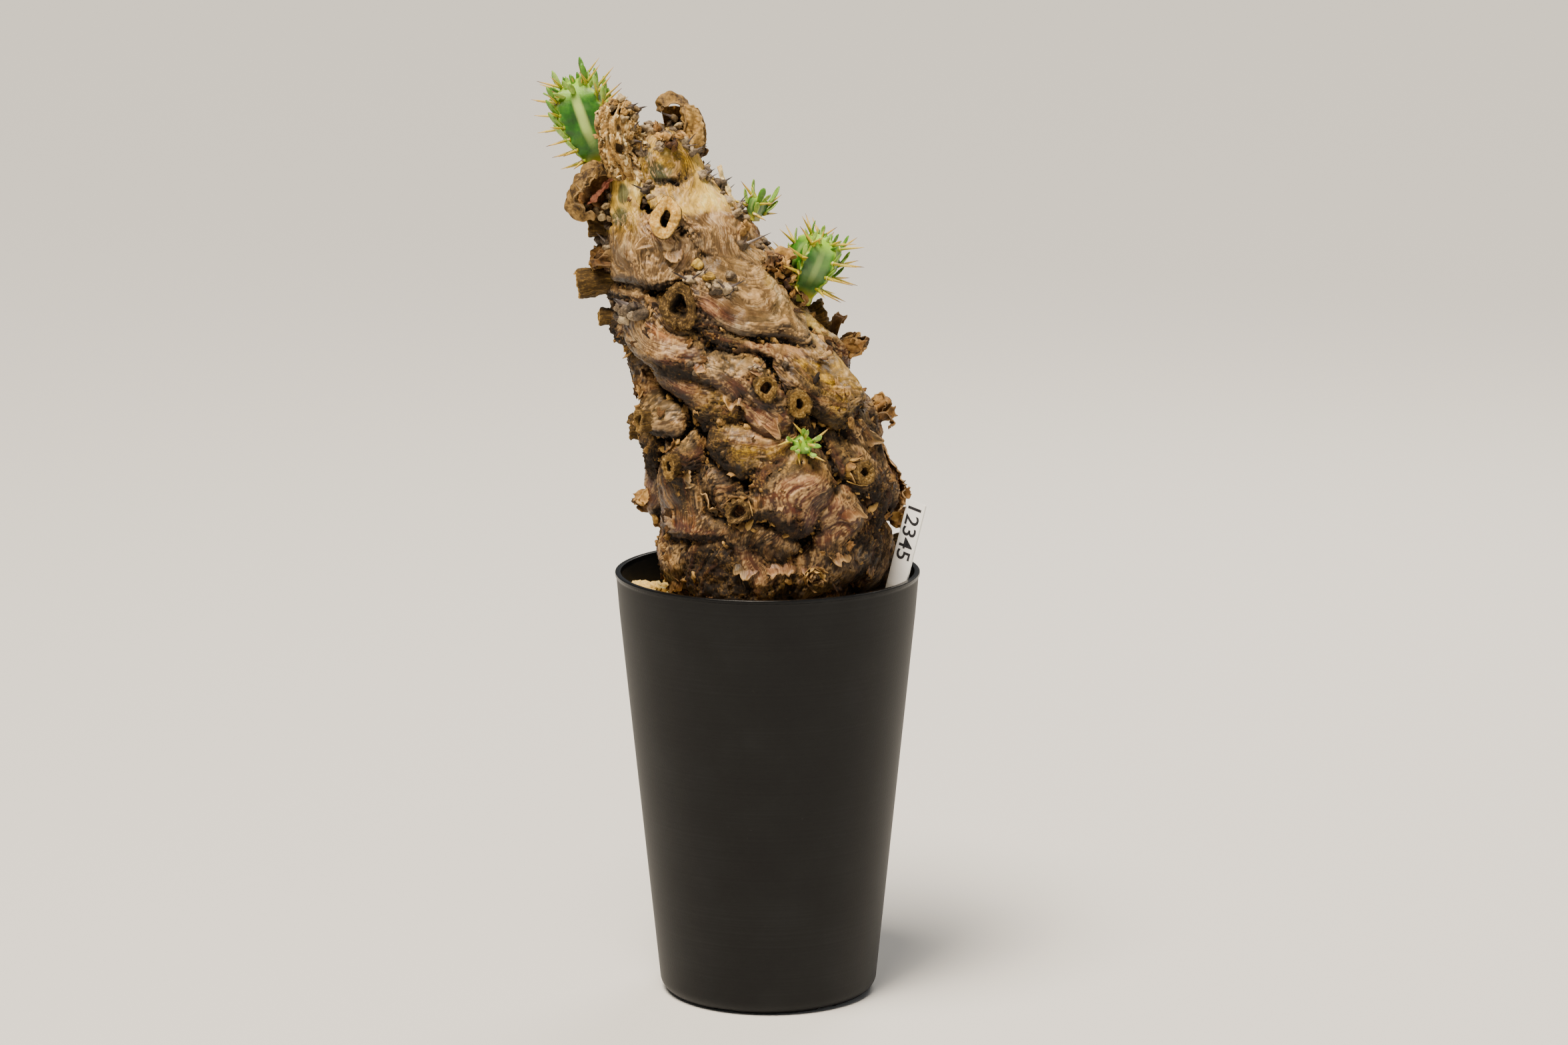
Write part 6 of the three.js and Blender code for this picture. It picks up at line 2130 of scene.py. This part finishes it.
def label_plate(name, material, width, length, near, far):
    """A strip with rounded corners, hung from the label's top between two distances towards the viewer."""
    top, wide, deep, along = label_axes()
    half, corner = width / 2, LABEL["corner"]
    outline = []
    for x, z, start in ((half, 0, 0), (-half, 0, 90), (-half, -length, 180), (half, -length, 270)):
        centre = np.array((x - math.copysign(corner, x), z - corner if z == 0 else z + corner))
        for turn in np.radians(start + np.linspace(0, 90, 5)):
            outline.append(centre + corner * np.array((math.cos(turn), math.sin(turn))))
    outline = np.array(outline)
    count = len(outline)
    sides = [top + wide * outline[:, :1] + along * outline[:, 1:] - deep * d for d in (far, near)]
    ring = np.arange(count)
    walls = np.stack([ring, (ring + 1) % count, (ring + 1) % count + count, ring + count], -1)
    caps = [ring[None, ::-1], ring[None] + count]
    return mesh_object(name, np.concatenate(sides), [walls, *caps], material, smooth=False)


def label_digits(material):
    top, wide, deep, along = label_axes()
    text = bpy.data.curves.new("label_digits", "FONT")
    text.body, text.size, text.extrude = LABEL["digits"], LABEL["digit height"] * MM, LABEL["ink"] * MM
    text.resolution_u, text.offset = 4, LABEL["stroke"] * MM
    written = bpy.data.objects.new("label_digits", text)
    bpy.context.scene.collection.objects.link(written)
    mesh = bpy.data.meshes.new_from_object(written.evaluated_get(bpy.context.evaluated_depsgraph_get()))
    bpy.data.objects.remove(written)
    points = read_points(mesh)
    across = points[:, 0] - points[:, 0].min()
    up = points[:, 1] - (points[:, 1].min() + points[:, 1].max()) / 2
    face = -(LABEL["thickness"] / 2 + LABEL["sticker"][2] + LABEL["ink"])
    placed = (top - along * (LABEL["from top"] + across[:, None]) + wide * up[:, None]
              + deep * (face - points[:, 2:]))
    mesh.vertices.foreach_set("co", (placed * MM).astype(np.float32).ravel())
    mesh.materials.clear()
    mesh.materials.append(material)
    made = bpy.data.objects.new("label_digits", mesh)
    bpy.context.scene.collection.objects.link(made)
    return made


def label_finish():
    plastic = Finish("label_plastic", Roughness=0.32, Specular_IOR_Level=0.5)
    place = plastic.place()
    stain = plastic.noise(place, 9, 3).step(0.55, 0.8) * 0.12
    plastic.set(Base_Color=plastic.mix(colour(0xF4F4EE), 0xC8BEA0, stain))
    plastic.bump(plastic.noise(place, 1.5, 2), 0.03)
    return plastic.material


def sticker_finish():
    paper = Finish("label_sticker", Roughness=0.55)
    grain = paper.noise(paper.place(), 0.5, 3)
    paper.set(Base_Color=paper.mix(colour(0xFAFAF8), 0xE4E2DA, grain.step(0.55, 0.8) * 0.4))
    return paper.material


def ink_finish():
    ink = Finish("label_ink", Roughness=0.5)
    grain = ink.noise(ink.place(), 0.4, 3)
    ink.set(Base_Color=ink.mix(colour(0x17171A), 0x3A3A40, grain.step(0.4, 0.7)))
    return ink.material


half_thick = LABEL["thickness"] / 2
strip = label_plate("label_strip", label_finish(), LABEL["width"], LABEL["length"], half_thick, -half_thick)
keep(strip, "label", "label")
sticker_width, sticker_length, sticker_thick = LABEL["sticker"]
sticker = label_plate("label_sticker", sticker_finish(), sticker_width, sticker_length,
                      half_thick + sticker_thick, half_thick - sticker_thick)
keep(sticker, "label", "label")
keep(label_digits(ink_finish()), "label", "label")

# %% [markdown]
# ## Light and floor
# The plant stands on a wide, plain, pale floor. A very soft sun from the upper left lights plant and
# floor evenly out to the horizon, so that every side view has the same ground, and a softbox above gives
# the skin its sheen. A weak lamp at the right lightens the shadows, and one behind draws the outline.

# %% Light and floor
FLOOR_REACH = 9000


def make_stage():
    floor = mesh_object("floor", np.array([(-1, -1, 0), (1, -1, 0), (1, 1, 0), (-1, 1, 0)]) * FLOOR_REACH,
                        [[(0, 1, 2, 3)]])
    paper = Finish("floor_paper", Roughness=0.7)
    paper.shader.inputs["Base Color"].default_value = colour(FLOOR_COLOUR)
    floor.data.materials.append(paper.material)


# Kind, place in mm, size in mm (for the sun, its angle in degrees), power and colour of each light.
LIGHTS = {
    "sky": ("SUN", (-350, -500, 1700), 30, 5.8, 0xFFF3E2),
    "key": ("AREA", (-300, -700, 1650), 420, 24, 0xFFEED8),
    "fill": ("AREA", (1300, -1300, 700), 1100, 3, 0xF2F5FF),
    "rim": ("AREA", (500, 1100, 1200), 700, 12, 0xFFF8EE),
}


LIT_POINT = (0, 0, 240)
ROOM = {"colour": 0xE6E8EA, "strength": 0.18}
FLOOR_COLOUR = 0xD9D7D2


def make_lights():
    for name, (kind, at, size, power, tint) in LIGHTS.items():
        data = bpy.data.lights.new(name, kind)
        if kind == "SUN":
            data.angle = math.radians(size)
        else:
            data.size = size * MM
        data.energy = power
        data.color = colour(tint)[:3]
        lamp = bpy.data.objects.new(name, data)
        lamp.location = Vector(at) * MM
        lamp.rotation_euler = (Vector(LIT_POINT) * MM - lamp.location).to_track_quat("-Z", "Y").to_euler()
        bpy.context.scene.collection.objects.link(lamp)
    world = bpy.data.worlds.new("room")
    world.use_nodes = True
    background = world.node_tree.nodes["Background"].inputs
    background["Color"].default_value = colour(ROOM["colour"])
    background["Strength"].default_value = ROOM["strength"]
    bpy.context.scene.world = world


make_stage()
make_lights()
